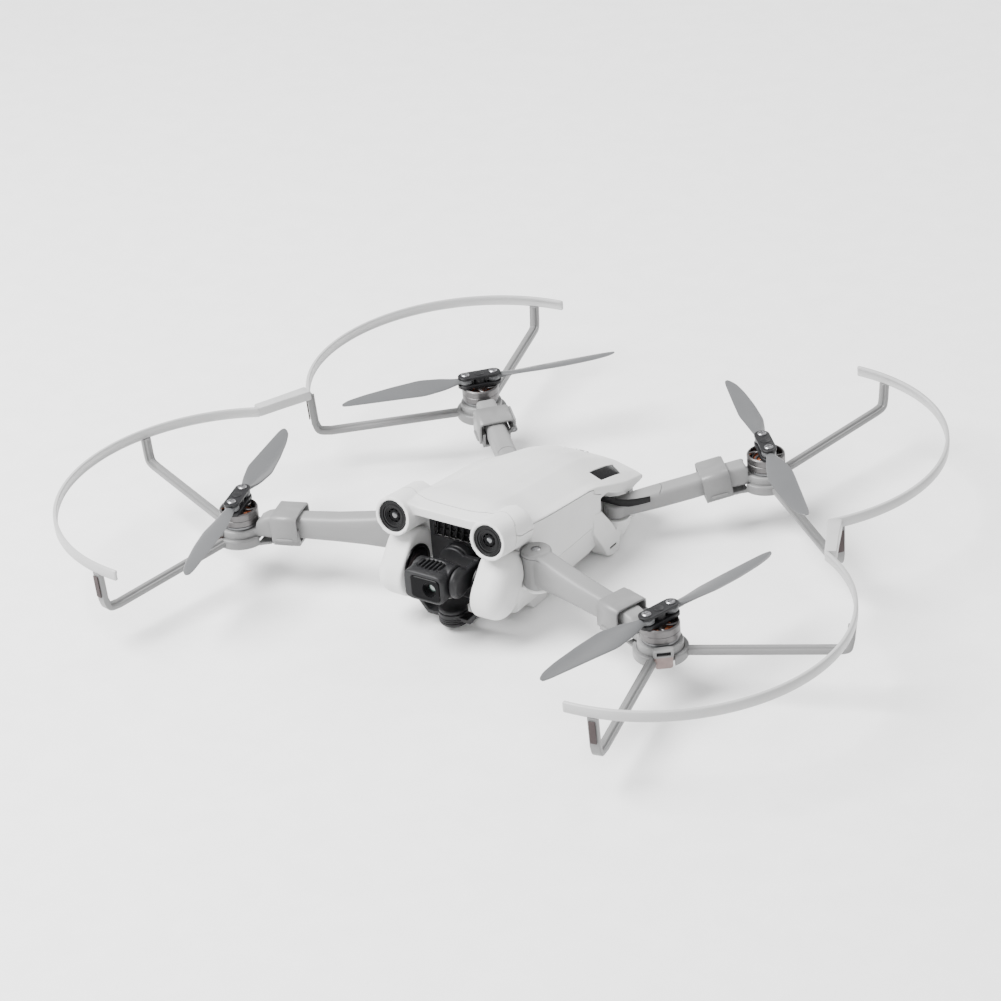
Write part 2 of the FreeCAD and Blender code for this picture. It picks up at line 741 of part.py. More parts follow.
def bell_profile(sketch):
    """The bell's closed half section, its radii and heights bound to the sheet."""
    bottom, top = dim("bell_bottom_z"), dim("bell_top_z")
    radius, shaft = dim("bell_radius"), dim("shaft_radius")
    wall, plate = 1.2, 1.0
    profile = (
        (0, bottom - 1.6), (shaft, bottom - 1.6), (shaft, top - plate),
        (radius - wall, top - plate), (radius - wall, bottom), (radius, bottom),
        (radius, top - 0.6), (radius - 0.6, top), (0, top),
    )
    points = [V(r, z, 0) for r, z in profile]
    for start, end in zip(points, points[1:] + points[:1]):
        sketch.addGeometry(Part.LineSegment(start, end))
    count = len(points)
    for index in range(count):
        sketch.addConstraint(Sketcher.Constraint("Coincident", index, 2, (index + 1) % count, 1))
    for index, name, expression in (
        (1, "shaft", "dims.shaft_radius"), (5, "rim", "dims.bell_radius"),
    ):
        number = sketch.addConstraint(
            Sketcher.Constraint("DistanceX", -1, 1, index, 1, dim(expression.split(".")[1])))
        sketch.setExpression("Constraints[%d]" % number, expression)


def make_bell(name, x, y):
    """Motor bell turned as one revolved profile, with openings cut round its top plate."""
    body = doc.addObject("PartDesign::Body", "motor_bell_" + name)
    body.Label = "motor_bell_" + name
    planes = {f.Role: f for f in body.Origin.OriginFeatures}
    sketch = body.newObject("Sketcher::SketchObject", "bell_profile_" + name)
    sketch.AttachmentSupport = [(planes["XZ_Plane"], "")]
    sketch.MapMode = "FlatFace"
    bell_profile(sketch)
    turned = body.newObject("PartDesign::Revolution", "bell_turned_" + name)
    turned.Profile = sketch
    turned.ReferenceAxis = (sketch, ["V_Axis"])
    turned.Angle = 360
    doc.recompute()
    hole = body.newObject("Sketcher::SketchObject", "bell_opening_" + name)
    hole.AttachmentSupport = [(planes["XY_Plane"], "")]
    hole.MapMode = "FlatFace"
    hole.addGeometry(Part.Circle(V(5.6, 0, 0), V(0, 0, 1), 1.6))
    pocket = body.newObject("PartDesign::Pocket", "bell_pocket_" + name)
    pocket.Profile = hole
    pocket.Type = "ThroughAll"
    pocket.Midplane = True
    pattern = body.newObject("PartDesign::PolarPattern", "bell_pattern_" + name)
    pattern.Originals = [pocket]
    pattern.Axis = (hole, ["N_Axis"])
    pattern.Angle = 360
    pattern.Occurrences = 8
    body.Tip = pattern
    side, end = motor_sides(x, y)
    bind(body, Placement__Base__x=motor_x_expression(side, end),
         Placement__Base__y="%d * dims.motor_y" % end)
    doc.recompute()
    nodes.append(body)


def hub_levels():
    """Heights of the hub's lower plate, blade slot and upper plate."""
    slot = dim("blade_eye_thickness") + 0.3
    base = dim("bell_top_z")
    deck = base + dim("hub_lower_plate")
    return base, deck, deck + slot, deck + slot + dim("hub_upper_plate")


def stadium(half_length, radius, z0, z1):
    """An upright slab with round ends, centred on the origin along X."""
    slab = box(-half_length, half_length, -radius, radius, z0, z1)
    ends = [Part.makeCylinder(radius, z1 - z0, V(x, 0, z0)) for x in (-half_length, half_length)]
    return fused([slab] + ends)


def make_hub(name, x, y, turn):
    """Propeller hub: two plates joined by a core, with the two screws that hold the blades."""
    z0, z1, z2, z3 = hub_levels()
    pivot = dim("blade_pivot_x")
    lower = stadium(pivot, 3.9, z0, z1)
    upper = stadium(pivot, 3.7, z2, z3)
    core = Part.makeCylinder(dim("hub_core_radius"), z2 - z1, V(0, 0, z1))
    hub = fused([lower, core, upper])
    for px in (-pivot, pivot):
        hub = hub.cut(Part.makeCylinder(dim("blade_pin_radius"), 12, V(px, 0, z0 - 1)))
    pieces = [hub]
    for px in (-pivot, pivot):
        pin = Part.makeCylinder(dim("blade_pin_radius"), z3 - z0 - 0.2, V(px, 0, z0 + 0.2))
        head = Part.makeCylinder(2.1, 0.9, V(px, 0, z3))
        head = head.cut(box(px - 1.4, px + 1.4, -0.25, 0.25, z3 + 0.4, z3 + 2))
        pieces.append(fused([pin, head]))
    hub = feature("propeller_hub_" + name, Part.makeCompound(pieces), on_motor(x, y, turn))
    bind_to_motor(hub, x, y)


def on_motor(x, y, turn):
    """Placement that turns a part about the rotor's axis and moves it to the motor."""
    return FreeCAD.Placement(V(x, y, 0), FreeCAD.Rotation(V(0, 0, 1), turn))


def bind_to_motor(item, x, y):
    """Keep a placed rotor part on its motor when the sheet's motor positions change."""
    side, end = motor_sides(x, y)
    bind(item, Placement__Base__x=motor_x_expression(side, end),
         Placement__Base__y="%d * dims.motor_y" % end)


def blade_section(distance, chord, twist_deg, thickness, sweep, z):
    """A lens-shaped section across the blade at a distance from the rotor's axis."""
    twist = math.radians(twist_deg)
    outline = ((-0.42, -0.05), (-0.18, 0.75), (0.2, 0.85), (0.58, 0.0), (0.2, -0.35), (-0.18, -0.4))
    points = []
    for along, up in outline:
        u = along * chord + sweep
        w = up * thickness
        points.append((
            distance,
            u * math.cos(twist) - w * math.sin(twist),
            z + u * math.sin(twist) + w * math.cos(twist),
        ))
    return polygon_wire(points)


# distance from the rotor's axis as a share of the radius, chord, twist, thickness, sweep
BLADE_SECTIONS = (
    (0.17, 5.2, 2.0, 1.4, -0.3),
    (0.26, 8.6, 16.0, 1.2, -0.6),
    (0.42, 12.2, 15.0, 1.0, -0.9),
    (0.62, 10.6, 11.0, 0.85, -0.5),
    (0.82, 8.0, 8.0, 0.7, 0.4),
    (0.96, 5.0, 6.0, 0.55, 1.6),
    (1.0, 2.0, 6.0, 0.45, 2.6),
)


def make_blade(name, x, y, turn, spin):
    """One folding blade: an eye on the hub screw and a twisted, tapering wing."""
    _, slot_low, slot_high, _ = hub_levels()
    middle = (slot_low + slot_high) / 2
    thick = dim("blade_eye_thickness")
    pivot = dim("blade_pivot_x")
    eye = Part.makeCylinder(dim("blade_eye_radius"), thick, V(pivot, 0, middle - thick / 2))
    neck = box(pivot, pivot + 5.2, -2.4, 2.4, middle - 1.0, middle + 1.0)
    wires = [
        blade_section(share * dim("propeller_radius"), chord, twist * spin, deep, sweep, middle)
        for share, chord, twist, deep, sweep in BLADE_SECTIONS
    ]
    wing = loft(wires)
    blade = fused([eye, neck, wing])
    bore = Part.makeCylinder(dim("blade_bore_radius"), 12, V(pivot, 0, middle - 6))
    blade = blade.cut(bore)
    bind_to_motor(feature(name, blade, on_motor(x, y, turn)), x, y)


def rotor_turn(side, end):
    """The parked propeller lies square to its arm."""
    direction = arm_direction(end)
    return math.degrees(math.atan2(direction.y, side * direction.x)) + 90


def make_rotors():
    for name, side, end in CORNERS:
        x, y = motor_xy(side, end)
        turn = rotor_turn(side, end)
        spin = side * end
        make_bell(name, x, y)
        make_hub(name, x, y, turn)
        make_blade("blade_a_" + name, x, y, turn, spin)
        make_blade("blade_b_" + name, x, y, turn + 180, spin)


# ---------------------------------------------------------------- gimbal camera

def make_gimbal_yoke():
    """Fixed U-shaped yoke between the cheeks, with the pan motor at its foot."""
    inner = dim("cheek_inner_x")
    radius = dim("yoke_disc_radius")
    axis_y = dim("gimbal_axis_y")
    discs = []
    for _, side in SIDES:
        disc = rod(radius, (inner - 1.2, axis_y - 1, 26), (inner + 1.1, axis_y - 1, 26))
        discs.append(mirrored(disc, side))
    half = inner - 1.2
    outline = (
        (half, 29.0), (half, 13.0), (11.5, 6.0), (-11.5, 6.0), (-half, 13.0), (-half, 29.0),
        (1.4 - half, 29.0), (1.4 - half, 14.0), (-10.4, 8.0), (10.4, 8.0), (half - 1.4, 14.0),
        (half - 1.4, 29.0),
    )
    yoke = prism([(x, axis_y - 4, z) for x, z in outline], (0, 7, 0))
    motor = Part.makeCylinder(6.8, 6.6, V(0, axis_y, 2.4))
    motor = motor.makeFillet(1.2, [motor.Edges[2]])
    feature("gimbal_yoke", fused([yoke, motor]))
    return discs


def make_pan_arm():
    axis_y = dim("gimbal_axis_y")
    cap = Part.makeCylinder(6.6, 1.8, V(0, axis_y, 9.3))
    reach = box(-4, 4, axis_y, axis_y + 11, 9.3, 11.1)
    post = box(-4, 4, axis_y + 8.6, axis_y + 11, 9.3, dim("camera_axis_z"))
    stator = rod(7.8, (0, axis_y + 5.6, dim("camera_axis_z")), (0, axis_y + 11, dim("camera_axis_z")))
    feature("gimbal_pan_arm", fused([cap, reach, post, stator]))


def make_roll_arm():
    axis_y = dim("gimbal_axis_y")
    z = dim("camera_axis_z")
    disc = rod(7.8, (0, axis_y + 3.0, z), (0, axis_y + 5.4, z))
    bridge = box(0, 14.4, axis_y + 3.0, axis_y + 5.4, z - 5.2, z + 5.2)
    outline = rounded_outline((12.0, (axis_y + 5.4 + dim("camera_axis_y") - 6.5) / 2, z),
                              (0, 1, 0), (0, 0, 1), 21.9, 10.5, 5.0)
    cheek = Part.Face(outline).extrude(V(2.4, 0, 0))
    motor = rod(5.0, (10.7, dim("camera_axis_y"), z), (12.1, dim("camera_axis_y"), z))
    feature("gimbal_roll_arm", fused([disc, bridge, cheek, motor]))


def make_camera():
    y, z = dim("camera_axis_y"), dim("camera_axis_z")
    case = box(-10.6, 10.4, y - 11.2, y + 7.0, z - 7.6, z + 7.6)
    long_edges = [e for e in case.Edges if e.BoundBox.YLength > 15]
    case = case.makeFillet(2.6, long_edges)
    rear = [e for e in case.Edges if e.BoundBox.YMin > y + 6.9]
    case = case.makeFillet(2.0, rear)
    window_recess = box(-6.2, 9.2, y - 12, y - 10.6, z - 5.4, z + 5.4)
    lens_bore = rod(3.9, (3.8, y - 12, z), (3.8, y - 6.0, z))
    case = case.cut(window_recess).cut(lens_bore)
    ribs = [
        box(-6.0 + 2.0 * i, -4.9 + 2.0 * i, y - 6.5, y + 2.5, z + 7.4, z + 8.6) for i in range(6)
    ]
    feature("camera_case", fused([case] + ribs))
    pane = box(-6.1, 9.1, y - 11.6, y - 10.6, z - 5.3, z + 5.3)
    pane = pane.makeFillet(1.2, [e for e in pane.Edges if abs(e.BoundBox.YLength - 1.0) < 0.01])
    feature("camera_window", pane.cut(rod(3.4, (3.8, y - 13, z), (3.8, y - 9, z))))
    barrel = rod(3.8, (3.8, y - 10.5, z), (3.8, y - 6.1, z))
    barrel = barrel.cut(rod(2.5, (3.8, y - 11, z), (3.8, y - 8.2, z)))
    glass = rod(2.45, (3.8, y - 9.4, z), (3.8, y - 8.2, z))
    feature("camera_lens", Part.makeCompound([barrel, glass]))


# ---------------------------------------------------------------- propeller guards

def ring_centre(side, end):
    x, y = motor_xy(side, end)
    return x + side * dim("ring_offset_x"), y


def ring_band(centre, start_deg, end_deg):
    """An upright curved strip between two angles round a centre."""
    inner = dim("ring_outer_radius") - dim("ring_band_thickness")
    low, high = dim("ring_bottom_z"), dim("ring_top_z")
    corners = []
    for radius in (inner, dim("ring_outer_radius")):
        corners.append([ring_point(centre, radius, a, low)
                        for a in (start_deg, (start_deg + end_deg) / 2, end_deg)])
    inside, outside = corners
    edges = [
        Part.Arc(*inside).toShape(),
        Part.LineSegment(inside[2], outside[2]).toShape(),
        Part.Arc(outside[2], outside[1], outside[0]).toShape(),
        Part.LineSegment(outside[0], inside[0]).toShape(),
    ]
    return Part.Face(Part.Wire(edges)).extrude(V(0, 0, high - low))


def ring_point(centre, radius, angle_deg, z):
    angle = math.radians(angle_deg)
    return V(centre[0] + radius * math.cos(angle), centre[1] + radius * math.sin(angle), z)


FRONT_RING_ANGLES = (-88.0, 61.0)
REAR_RING_ANGLES = (-41.0, 88.0)
FRONT_SPOKES = (("short", 21.0), ("long", -79.0))
REAR_SPOKES = (("short", 77.0), ("long", -38.0))


def spoke(centre, motor, angle_deg, long_leg):
    """A guard spoke: a flat bar under the propeller that turns up to meet the ring."""
    reach = dim("ring_outer_radius") - dim("ring_band_thickness") / 2
    foot_z = 20.0 if long_leg else 28.0
    turn_in = 9.0 if long_leg else 7.5
    hub_point = ring_point(motor, 11.6, angle_deg, 23.4)
    elbow = ring_point(centre, reach - turn_in, angle_deg, foot_z)
    knee = ring_point(centre, reach - turn_in * 0.45, angle_deg, foot_z + 0.9)
    foot = ring_point(centre, reach - 1.9, angle_deg, foot_z + turn_in * 0.55)
    head = ring_point(centre, reach - 1.0, angle_deg, dim("ring_bottom_z"))
    route = (hub_point, elbow, knee, foot, head)
    tangent = V(-math.sin(math.radians(angle_deg)), math.cos(math.radians(angle_deg)), 0)
    pieces = []
    for index, (start, end) in enumerate(zip(route, route[1:])):
        along = (end - start).normalize()
        overlap = 0.0 if index == len(route) - 2 else 0.7
        outlines = [
            rounded_outline(tuple(point), tuple(tangent), tuple(along.cross(tangent)),
                            dim("spoke_width"), dim("spoke_height"), 1.0)
            for point in (start, end + along * overlap)
        ]
        pieces.append(loft(outlines))
    ceiling = box(-300, 300, -300, 300, dim("ring_bottom_z"), 60)
    return fused(pieces).cut(ceiling)


def arm_direction(end):
    """Unit vector from the left motor back along its arm, seen from above."""
    x, y = motor_xy(1, end)
    if end < 0:
        toward = V(dim("front_hinge_x") - x, dim("front_hinge_y") - y, 0)
    else:
        toward = V(dim("rear_hinge_x") - x, dim("rear_hinge_y") - y, 0)
    return toward.normalize()


# Where the strap sits on each arm: height of the arm's middle, slope towards the
# hinge and half height of the arm's section there.
STRAP_SEAT = {-1: (30.2, 0.033, 6.1), 1: (26.4, -0.17, 5.5)}


def strap_frame(end):
    """Placement with X along the arm towards the body, Y to the front and Z up."""
    middle_z, slope, _ = STRAP_SEAT[end]
    flat = arm_direction(end)
    along = (flat + V(0, 0, slope)).normalize()
    across = V(0, 0, 1).cross(along).normalize()
    upward = along.cross(across)
    x, y = motor_xy(1, end)
    centre = V(x, y, middle_z) + flat * dim("strap_distance")
    matrix = FreeCAD.Matrix(
        along.x, across.x, upward.x, centre.x,
        along.y, across.y, upward.y, centre.y,
        along.z, across.z, upward.z, centre.z,
        0, 0, 0, 1,
    )
    return FreeCAD.Placement(matrix)


SADDLE_INNER = 5.5
SADDLE_WALL = 1.5
HINGE_ACROSS = -8.8
HINGE_UP = 0.5
KNUCKLE_RADIUS = 1.7


def saddle(end):
    """The guard's channel under an arm, with two hinge knuckles, in the strap's frame."""
    half_height = STRAP_SEAT[end][2] + 0.2
    half_length = dim("strap_length") / 2
    outer = SADDLE_INNER + SADDLE_WALL
    block = box(-half_length, half_length, -outer, outer, -half_height - SADDLE_WALL, 0.5)
    channel = box(-20, 20, -SADDLE_INNER, SADDLE_INNER, -half_height, 10)
    body = block.cut(channel)
    knuckles = []
    for x0, x1 in ((-half_length, -4.7), (4.7, half_length)):
        barrel = rod(KNUCKLE_RADIUS, (x0, HINGE_ACROSS, HINGE_UP), (x1, HINGE_ACROSS, HINGE_UP))
        web = box(x0, x1, HINGE_ACROSS, -outer + 0.2, HINGE_UP - 1.6, HINGE_UP)
        knuckles += [barrel, web]
    bore = rod(dim("strap_pin_radius"), (-20, HINGE_ACROSS, HINGE_UP), (20, HINGE_ACROSS, HINGE_UP))
    return fused([body] + knuckles).cut(bore)


def strap(end):
    """The strap that closes over the arm, in its own frame: knuckle, roof and front flap."""
    half_height = STRAP_SEAT[end][2] + 0.3
    thick = dim("strap_thickness")
    half_length = dim("strap_length") / 2
    top = half_height + thick
    riser = box(-half_length, half_length, HINGE_ACROSS - 0.65, HINGE_ACROSS + 0.65,
                HINGE_UP + 1.95, top)
    stem = box(-4.5, 4.5, HINGE_ACROSS - 0.65, HINGE_ACROSS + 0.65, HINGE_UP, HINGE_UP + 2.2)
    flap_in = SADDLE_INNER + SADDLE_WALL + 0.35
    roof = box(-half_length, half_length, HINGE_ACROSS - 0.65, flap_in + thick, half_height, top)
    flap = box(-half_length, half_length, flap_in, flap_in + thick, -4.6, top)
    tab = box(-4.0, 4.0, flap_in + thick - 0.1, flap_in + thick + 0.8, -4.6, -3.4)
    knuckle = rod(KNUCKLE_RADIUS, (-4.5, HINGE_ACROSS, HINGE_UP), (4.5, HINGE_ACROSS, HINGE_UP))
    closed = fused([riser, stem, roof, flap])
    rounded = [
        e for e in closed.Edges
        if e.BoundBox.XLength > dim("strap_length") - 0.1 and e.BoundBox.ZMin > top - 0.01
    ]
    closed = closed.makeFillet(1.1, rounded)
    strap_body = fused([closed, tab, knuckle])
    bore = rod(dim("strap_bore_radius"), (-20, HINGE_ACROSS, HINGE_UP), (20, HINGE_ACROSS, HINGE_UP))
    return strap_body.cut(bore)


def cradle(end):
    """The guard's clip round the motor cup, bridged to the saddle, on the left side."""
    x, y = motor_xy(1, end)
    ring = Part.makeCylinder(12.4, 4.8, V(x, y, 20.2))
    ring = ring.cut(Part.makeCylinder(dim("motor_cup_radius") + 0.1, 20, V(x, y, 15)))
    flat = arm_direction(end)
    across = V(0, 0, 1).cross(flat)
    saddle_floor = STRAP_SEAT[end][0] - STRAP_SEAT[end][2] - 0.2
    start_top = 21.6
    near = V(x, y, 0) + flat * 10.5
    far = V(x, y, 0) + flat * (dim("strap_distance") - dim("strap_length") / 2 + 0.4)
    far_top = saddle_floor - 0.35 * (1 if end < 0 else -1)
    corners = [(near, start_top - 1.5), (far, far_top - 1.5), (far, far_top), (near, start_top)]
    outline = [tuple(p + V(0, 0, z) - across * 5.4) for p, z in corners]
    bridge = prism(outline, tuple(across * 10.8))
    neck_room = box(0, 30, -5.2, 5.2, start_top, 30)
    neck_room.Placement = FreeCAD.Placement(
        V(x, y, 0), FreeCAD.Rotation(V(0, 0, 1), math.degrees(math.atan2(flat.y, flat.x))))
    return [ring.cut(neck_room), bridge]


def make_guard_frame(name, side):
    """Spokes, motor clips and saddles of one guard, front and rear."""
    frames = []
    for end, spokes in ((-1, FRONT_SPOKES), (1, REAR_SPOKES)):
        motor = motor_xy(1, end)
        centre = ring_centre(1, end)
        seat = saddle(end)
        seat.Placement = strap_frame(end)
        pieces = cradle(end) + [seat]
        pieces += [spoke(centre, motor, angle, kind == "long") for kind, angle in spokes]
        frame = fused(pieces)
        frame = frame.cut(Part.makeCylinder(dim("motor_cup_radius") + 0.1, 20, V(motor[0], motor[1], 15)))
        if end < 0:
            frame = frame.cut(lamp_opening())
        frames.append(mirrored(frame, side))
    feature("guard_frame_" + name, Part.makeCompound(frames))


def make_guard_ring(name, side):
    """The outer band of one guard: front arc, link block and rear arc."""
    front = ring_band(ring_centre(1, -1), *FRONT_RING_ANGLES)
    rear = ring_band(ring_centre(1, 1), *REAR_RING_ANGLES)
    middle = dim("ring_outer_radius") - dim("ring_band_thickness") / 2
    start = ring_point(ring_centre(1, -1), middle + 1.6, FRONT_RING_ANGLES[1] - 1.0, 42.5)
    finish = ring_point(ring_centre(1, 1), middle, REAR_RING_ANGLES[0] + 1.5, 42.5)
    block = bar(tuple(start), tuple(finish), 5.6, 5.0, 0.6, 6.6, 5.0)
    feature("guard_ring_" + name, mirrored(fused([front, rear, block]), side))


def make_straps_and_pins():
    """Four straps, and every steel hinge pin: arm folds and straps."""
    radius = dim("hinge_pin_radius")
    half_length = dim("strap_length") / 2
    pins = []
    for name, side, end in CORNERS:
        body = strap(end)
        body.Placement = strap_frame(end)
        feature("guard_strap_" + name, mirrored(body, side))
        pin = rod(dim("strap_pin_radius"), (-half_length, HINGE_ACROSS, HINGE_UP),
                  (half_length, HINGE_ACROSS, HINGE_UP))
        pin.Placement = strap_frame(end)
        pins.append(mirrored(pin, side))
    for _, side in SIDES:
        pins.append(mirrored(front_pin(radius), side))
        pins.append(mirrored(rear_pin(radius), side))
    feature("hinge_pins", Part.makeCompound(pins))


def make_rubber_pads(dampers):
    """Yoke dampers, and the soft strips on the outer face of the guards' long legs."""
    strips = []
    for end, spokes in ((-1, FRONT_SPOKES), (1, REAR_SPOKES)):
        centre = ring_centre(1, end)
        angle = spokes[1][1]
        reach = dim("ring_outer_radius") - dim("ring_band_thickness") / 2
        low = ring_point(centre, reach + dim("spoke_height") / 2 - 1.6, angle, 27.5)
        high = ring_point(centre, reach + dim("spoke_height") / 2 - 1.0, angle, 38.5)
        strips.append((low, high, angle))
    pads = list(dampers)
    for low, high, angle in strips:
        along = (high - low).normalize()
        across = V(-math.sin(math.radians(angle)), math.cos(math.radians(angle)), 0)
        outward = across.cross(along)
        section = rounded_outline(tuple(low + outward * 0.4), tuple(across), tuple(outward), 3.0, 0.6, 0.2)
        strip = Part.Face(section).extrude(high - low)
        pads += [mirrored(strip, side) for _, side in SIDES]
    feature("rubber_pads", Part.makeCompound(pads))


# ---------------------------------------------------------------- build

def build():
    make_top_shell()
    make_lower_shell()
    for name, side in SIDES:
        make_cheek(name, side)
    make_feet()
    make_nose_grille()
    make_eyes()
    make_rear_windows()
    make_indicators()
    make_power_button()
    make_ports()
    make_main_board()
    make_cooling()
    make_positioning_module()
    feature("belly_windows", Part.makeCompound(belly_panes()))
    make_battery()
    make_arms()
    make_rear_hinge_covers()
    make_stators()
    make_rotors()
    dampers = make_gimbal_yoke()
    make_pan_arm()
    make_roll_arm()
    make_camera()
    for name, side in SIDES:
        make_guard_frame(name, side)
        make_guard_ring(name, side)
    make_straps_and_pins()
    make_rubber_pads(dampers)


def check_and_export():
    """Stop on any failed object, then write one STEP file for each sub-part."""
    doc.recompute()
    for item in doc.Objects:
        if "Invalid" in item.State or "Error" in item.State:
            raise RuntimeError("%s failed to build" % item.Label)
    for item in nodes:
        shape = item.Shape
        if shape.isNull() or not shape.isValid() or not shape.Solids:
            raise RuntimeError("%s has no valid solid" % item.Label)
    for item in nodes:
        item.Shape.exportStep("parts/%s.step" % item.Label)
    print("%d sub-parts written" % len(nodes))


build()
check_and_export()
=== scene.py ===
import json
import math

import bmesh
import bpy
from mathutils import Matrix, Vector
from mathutils.bvhtree import BVHTree


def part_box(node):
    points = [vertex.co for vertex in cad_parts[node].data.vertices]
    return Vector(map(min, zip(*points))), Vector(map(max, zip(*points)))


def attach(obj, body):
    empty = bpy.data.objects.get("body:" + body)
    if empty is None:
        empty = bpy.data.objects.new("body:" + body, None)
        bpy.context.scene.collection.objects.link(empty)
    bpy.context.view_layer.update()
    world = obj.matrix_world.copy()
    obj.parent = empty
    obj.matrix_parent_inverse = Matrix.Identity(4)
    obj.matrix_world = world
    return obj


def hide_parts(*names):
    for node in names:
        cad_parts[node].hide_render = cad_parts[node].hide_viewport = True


# Looks for the small folding camera drone. Shapes are written in millimetres and become
# metres when a mesh is made. The nose points along -Y, the left side is +X.

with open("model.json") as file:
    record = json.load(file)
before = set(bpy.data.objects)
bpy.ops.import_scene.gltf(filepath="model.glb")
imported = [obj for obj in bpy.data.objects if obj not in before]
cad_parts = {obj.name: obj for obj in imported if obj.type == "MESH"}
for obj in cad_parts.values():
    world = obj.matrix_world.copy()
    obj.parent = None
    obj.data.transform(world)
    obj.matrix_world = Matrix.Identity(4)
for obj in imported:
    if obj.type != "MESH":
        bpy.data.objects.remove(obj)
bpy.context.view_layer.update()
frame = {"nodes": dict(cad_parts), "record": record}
RECORD = frame["record"]
BODY_OF = {node: body for body, nodes in RECORD["behaviour"]["bodies"].items() for node in nodes}
SLOT_OF = {row["node"]: row["material_slot"] for row in RECORD["subparts"]}
MM = 0.001
X, Y, Z = Vector((1, 0, 0)), Vector((0, 1, 0)), Vector((0, 0, 1))
SIDES = (("left", 1), ("right", -1))
CORNERS = (
    ("front_left", 1, -1), ("front_right", -1, -1), ("rear_left", 1, 1), ("rear_right", -1, 1),
)


def cad_middle(node):
    """Middle of a CAD node's box in millimetres."""
    low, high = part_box(node)
    return (low + high) / (2 * MM)


# ---------------------------------------------------------------- materials

MATERIALS = {}


def new_material(name):
    MATERIALS[name] = material = bpy.data.materials.new(name)
    material.use_nodes = True
    tree = material.node_tree
    return material, tree, tree.nodes["Principled BSDF"]


def set_inputs(node, **values):
    """Set inputs to constants; an underscore stands for a space in an input's name."""
    for key, value in values.items():
        node.inputs[key.replace("_", " ")].default_value = value
    return node


def ramp(tree, source, low, high, start=0.35, stop=0.65):
    """A colour ramp between two colours driven by a texture value."""
    node = tree.nodes.new("ShaderNodeValToRGB")
    for stop_point, place, colour in zip(node.color_ramp.elements, (start, stop), (low, high)):
        stop_point.position = place
        stop_point.color = (*colour, 1)
    tree.links.new(source, node.inputs["Fac"])
    return node.outputs["Color"]


def object_coordinates(tree, stretch=(1, 1, 1)):
    place = tree.nodes.new("ShaderNodeTexCoord")
    mapping = set_inputs(tree.nodes.new("ShaderNodeMapping"), Scale=stretch)
    tree.links.new(place.outputs["Object"], mapping.inputs["Vector"])
    return mapping.outputs["Vector"]


def noise(tree, vector, scale, detail=4.0):
    node = set_inputs(tree.nodes.new("ShaderNodeTexNoise"), Scale=scale, Detail=detail)
    tree.links.new(vector, node.inputs["Vector"])
    return node.outputs["Fac"]


def bumped(tree, shader, height, strength, distance):
    bump = set_inputs(tree.nodes.new("ShaderNodeBump"), Strength=strength, Distance=distance)
    tree.links.new(height, bump.inputs["Height"])
    tree.links.new(bump.outputs["Normal"], shader.inputs["Normal"])


def coloured(tree, shader, tone, sheen=None, low=0.0, high=1.0):
    """Feed the base colour, and the roughness from a texture spread between two values."""
    tree.links.new(tone, shader.inputs["Base Color"])
    if sheen is not None:
        spread = set_inputs(tree.nodes.new("ShaderNodeMapRange"), To_Min=low, To_Max=high)
        tree.links.new(sheen, spread.inputs["Value"])
        tree.links.new(spread.outputs["Result"], shader.inputs["Roughness"])


def shade(colour, factor):
    return tuple(min(1.0, channel * factor) for channel in colour)


def moulded(name, colour, rough, grain=0.25, coat=0.0, grain_scale=2600.0, specular=0.4):
    """Moulded plastic: fine spark-eroded grain, faint cloudy tone and uneven sheen."""
    material, tree, shader = new_material(name)
    vector = object_coordinates(tree)
    tone = ramp(tree, noise(tree, vector, 38.0), shade(colour, 0.955), shade(colour, 1.025))
    coloured(tree, shader, tone, noise(tree, vector, 120.0, 6.0), rough - 0.07, rough + 0.07)
    bumped(tree, shader, noise(tree, vector, grain_scale, 2.0), grain, 0.00006)
    set_inputs(shader, Specular_IOR_Level=specular, Coat_Weight=coat, Coat_Roughness=0.12)
    return material


def turned_metal(name, colour, rough):
    """Anodised or polished turned metal with fine rings about the motor's axis."""
    material, tree, shader = new_material(name)
    grain = noise(tree, object_coordinates(tree, (1, 1, 30)), 420.0, 3.0)
    tone = ramp(tree, grain, shade(colour, 0.8), shade(colour, 1.12))
    coloured(tree, shader, tone, grain, rough - 0.08, rough + 0.1)
    bumped(tree, shader, grain, 0.25, 0.00005)
    set_inputs(shader, Metallic=0.9)
    return material


def lens_glass(name, colour, painted_reflection):
    """Dark coated glass: a black element under a clear coat, its base colour painted lighter and coloured
    where it faces the view, a painted reflection of the coating.
    """
    material, tree, shader = new_material(name)
    facing = set_inputs(tree.nodes.new("ShaderNodeLayerWeight"), Blend=0.35)
    # Painted reflection: the base colour runs from the lighter reflection colour, facing the view, to the
    # dark glass at grazing angles.
    tone = ramp(tree, facing.outputs["Facing"], painted_reflection, colour, 0.0, 0.55)
    coloured(tree, shader, tone, noise(tree, object_coordinates(tree), 900.0), 0.02, 0.07)
    set_inputs(shader, Specular_IOR_Level=0.8, Coat_Weight=1.0, Coat_Roughness=0.02)
    return material


def wound_copper(name):
    """Enamelled winding wire: coppery, with darker streaks painted as shade in the gaps between the turns."""
    material, tree, shader = new_material(name)
    strands_and_gap_shade = noise(tree, object_coordinates(tree, (1, 1, 6)), 700.0, 2.0)
    # The dark end of this ramp is painted shade for the gaps between the turns; the same streaks also vary
    # the roughness.
    tone = ramp(tree, strands_and_gap_shade, (0.28, 0.07, 0.035), (0.80, 0.33, 0.17), 0.3, 0.7)
    coloured(tree, shader, tone, strands_and_gap_shade, 0.22, 0.42)
    set_inputs(shader, Metallic=0.85)
    return material


def frosted(name, colour, glow=0.0):
    """Frosted light pipe plastic."""
    material, tree, shader = new_material(name)
    haze = noise(tree, object_coordinates(tree), 500.0)
    coloured(tree, shader, ramp(tree, haze, shade(colour, 0.9), shade(colour, 1.05)))
    set_inputs(shader, Roughness=0.35, Subsurface_Weight=0.25, Subsurface_Radius=(0.002, 0.002, 0.002),
               Emission_Color=(*colour, 1), Emission_Strength=glow)
    bumped(tree, shader, haze, 0.2, 0.00004)
    return material


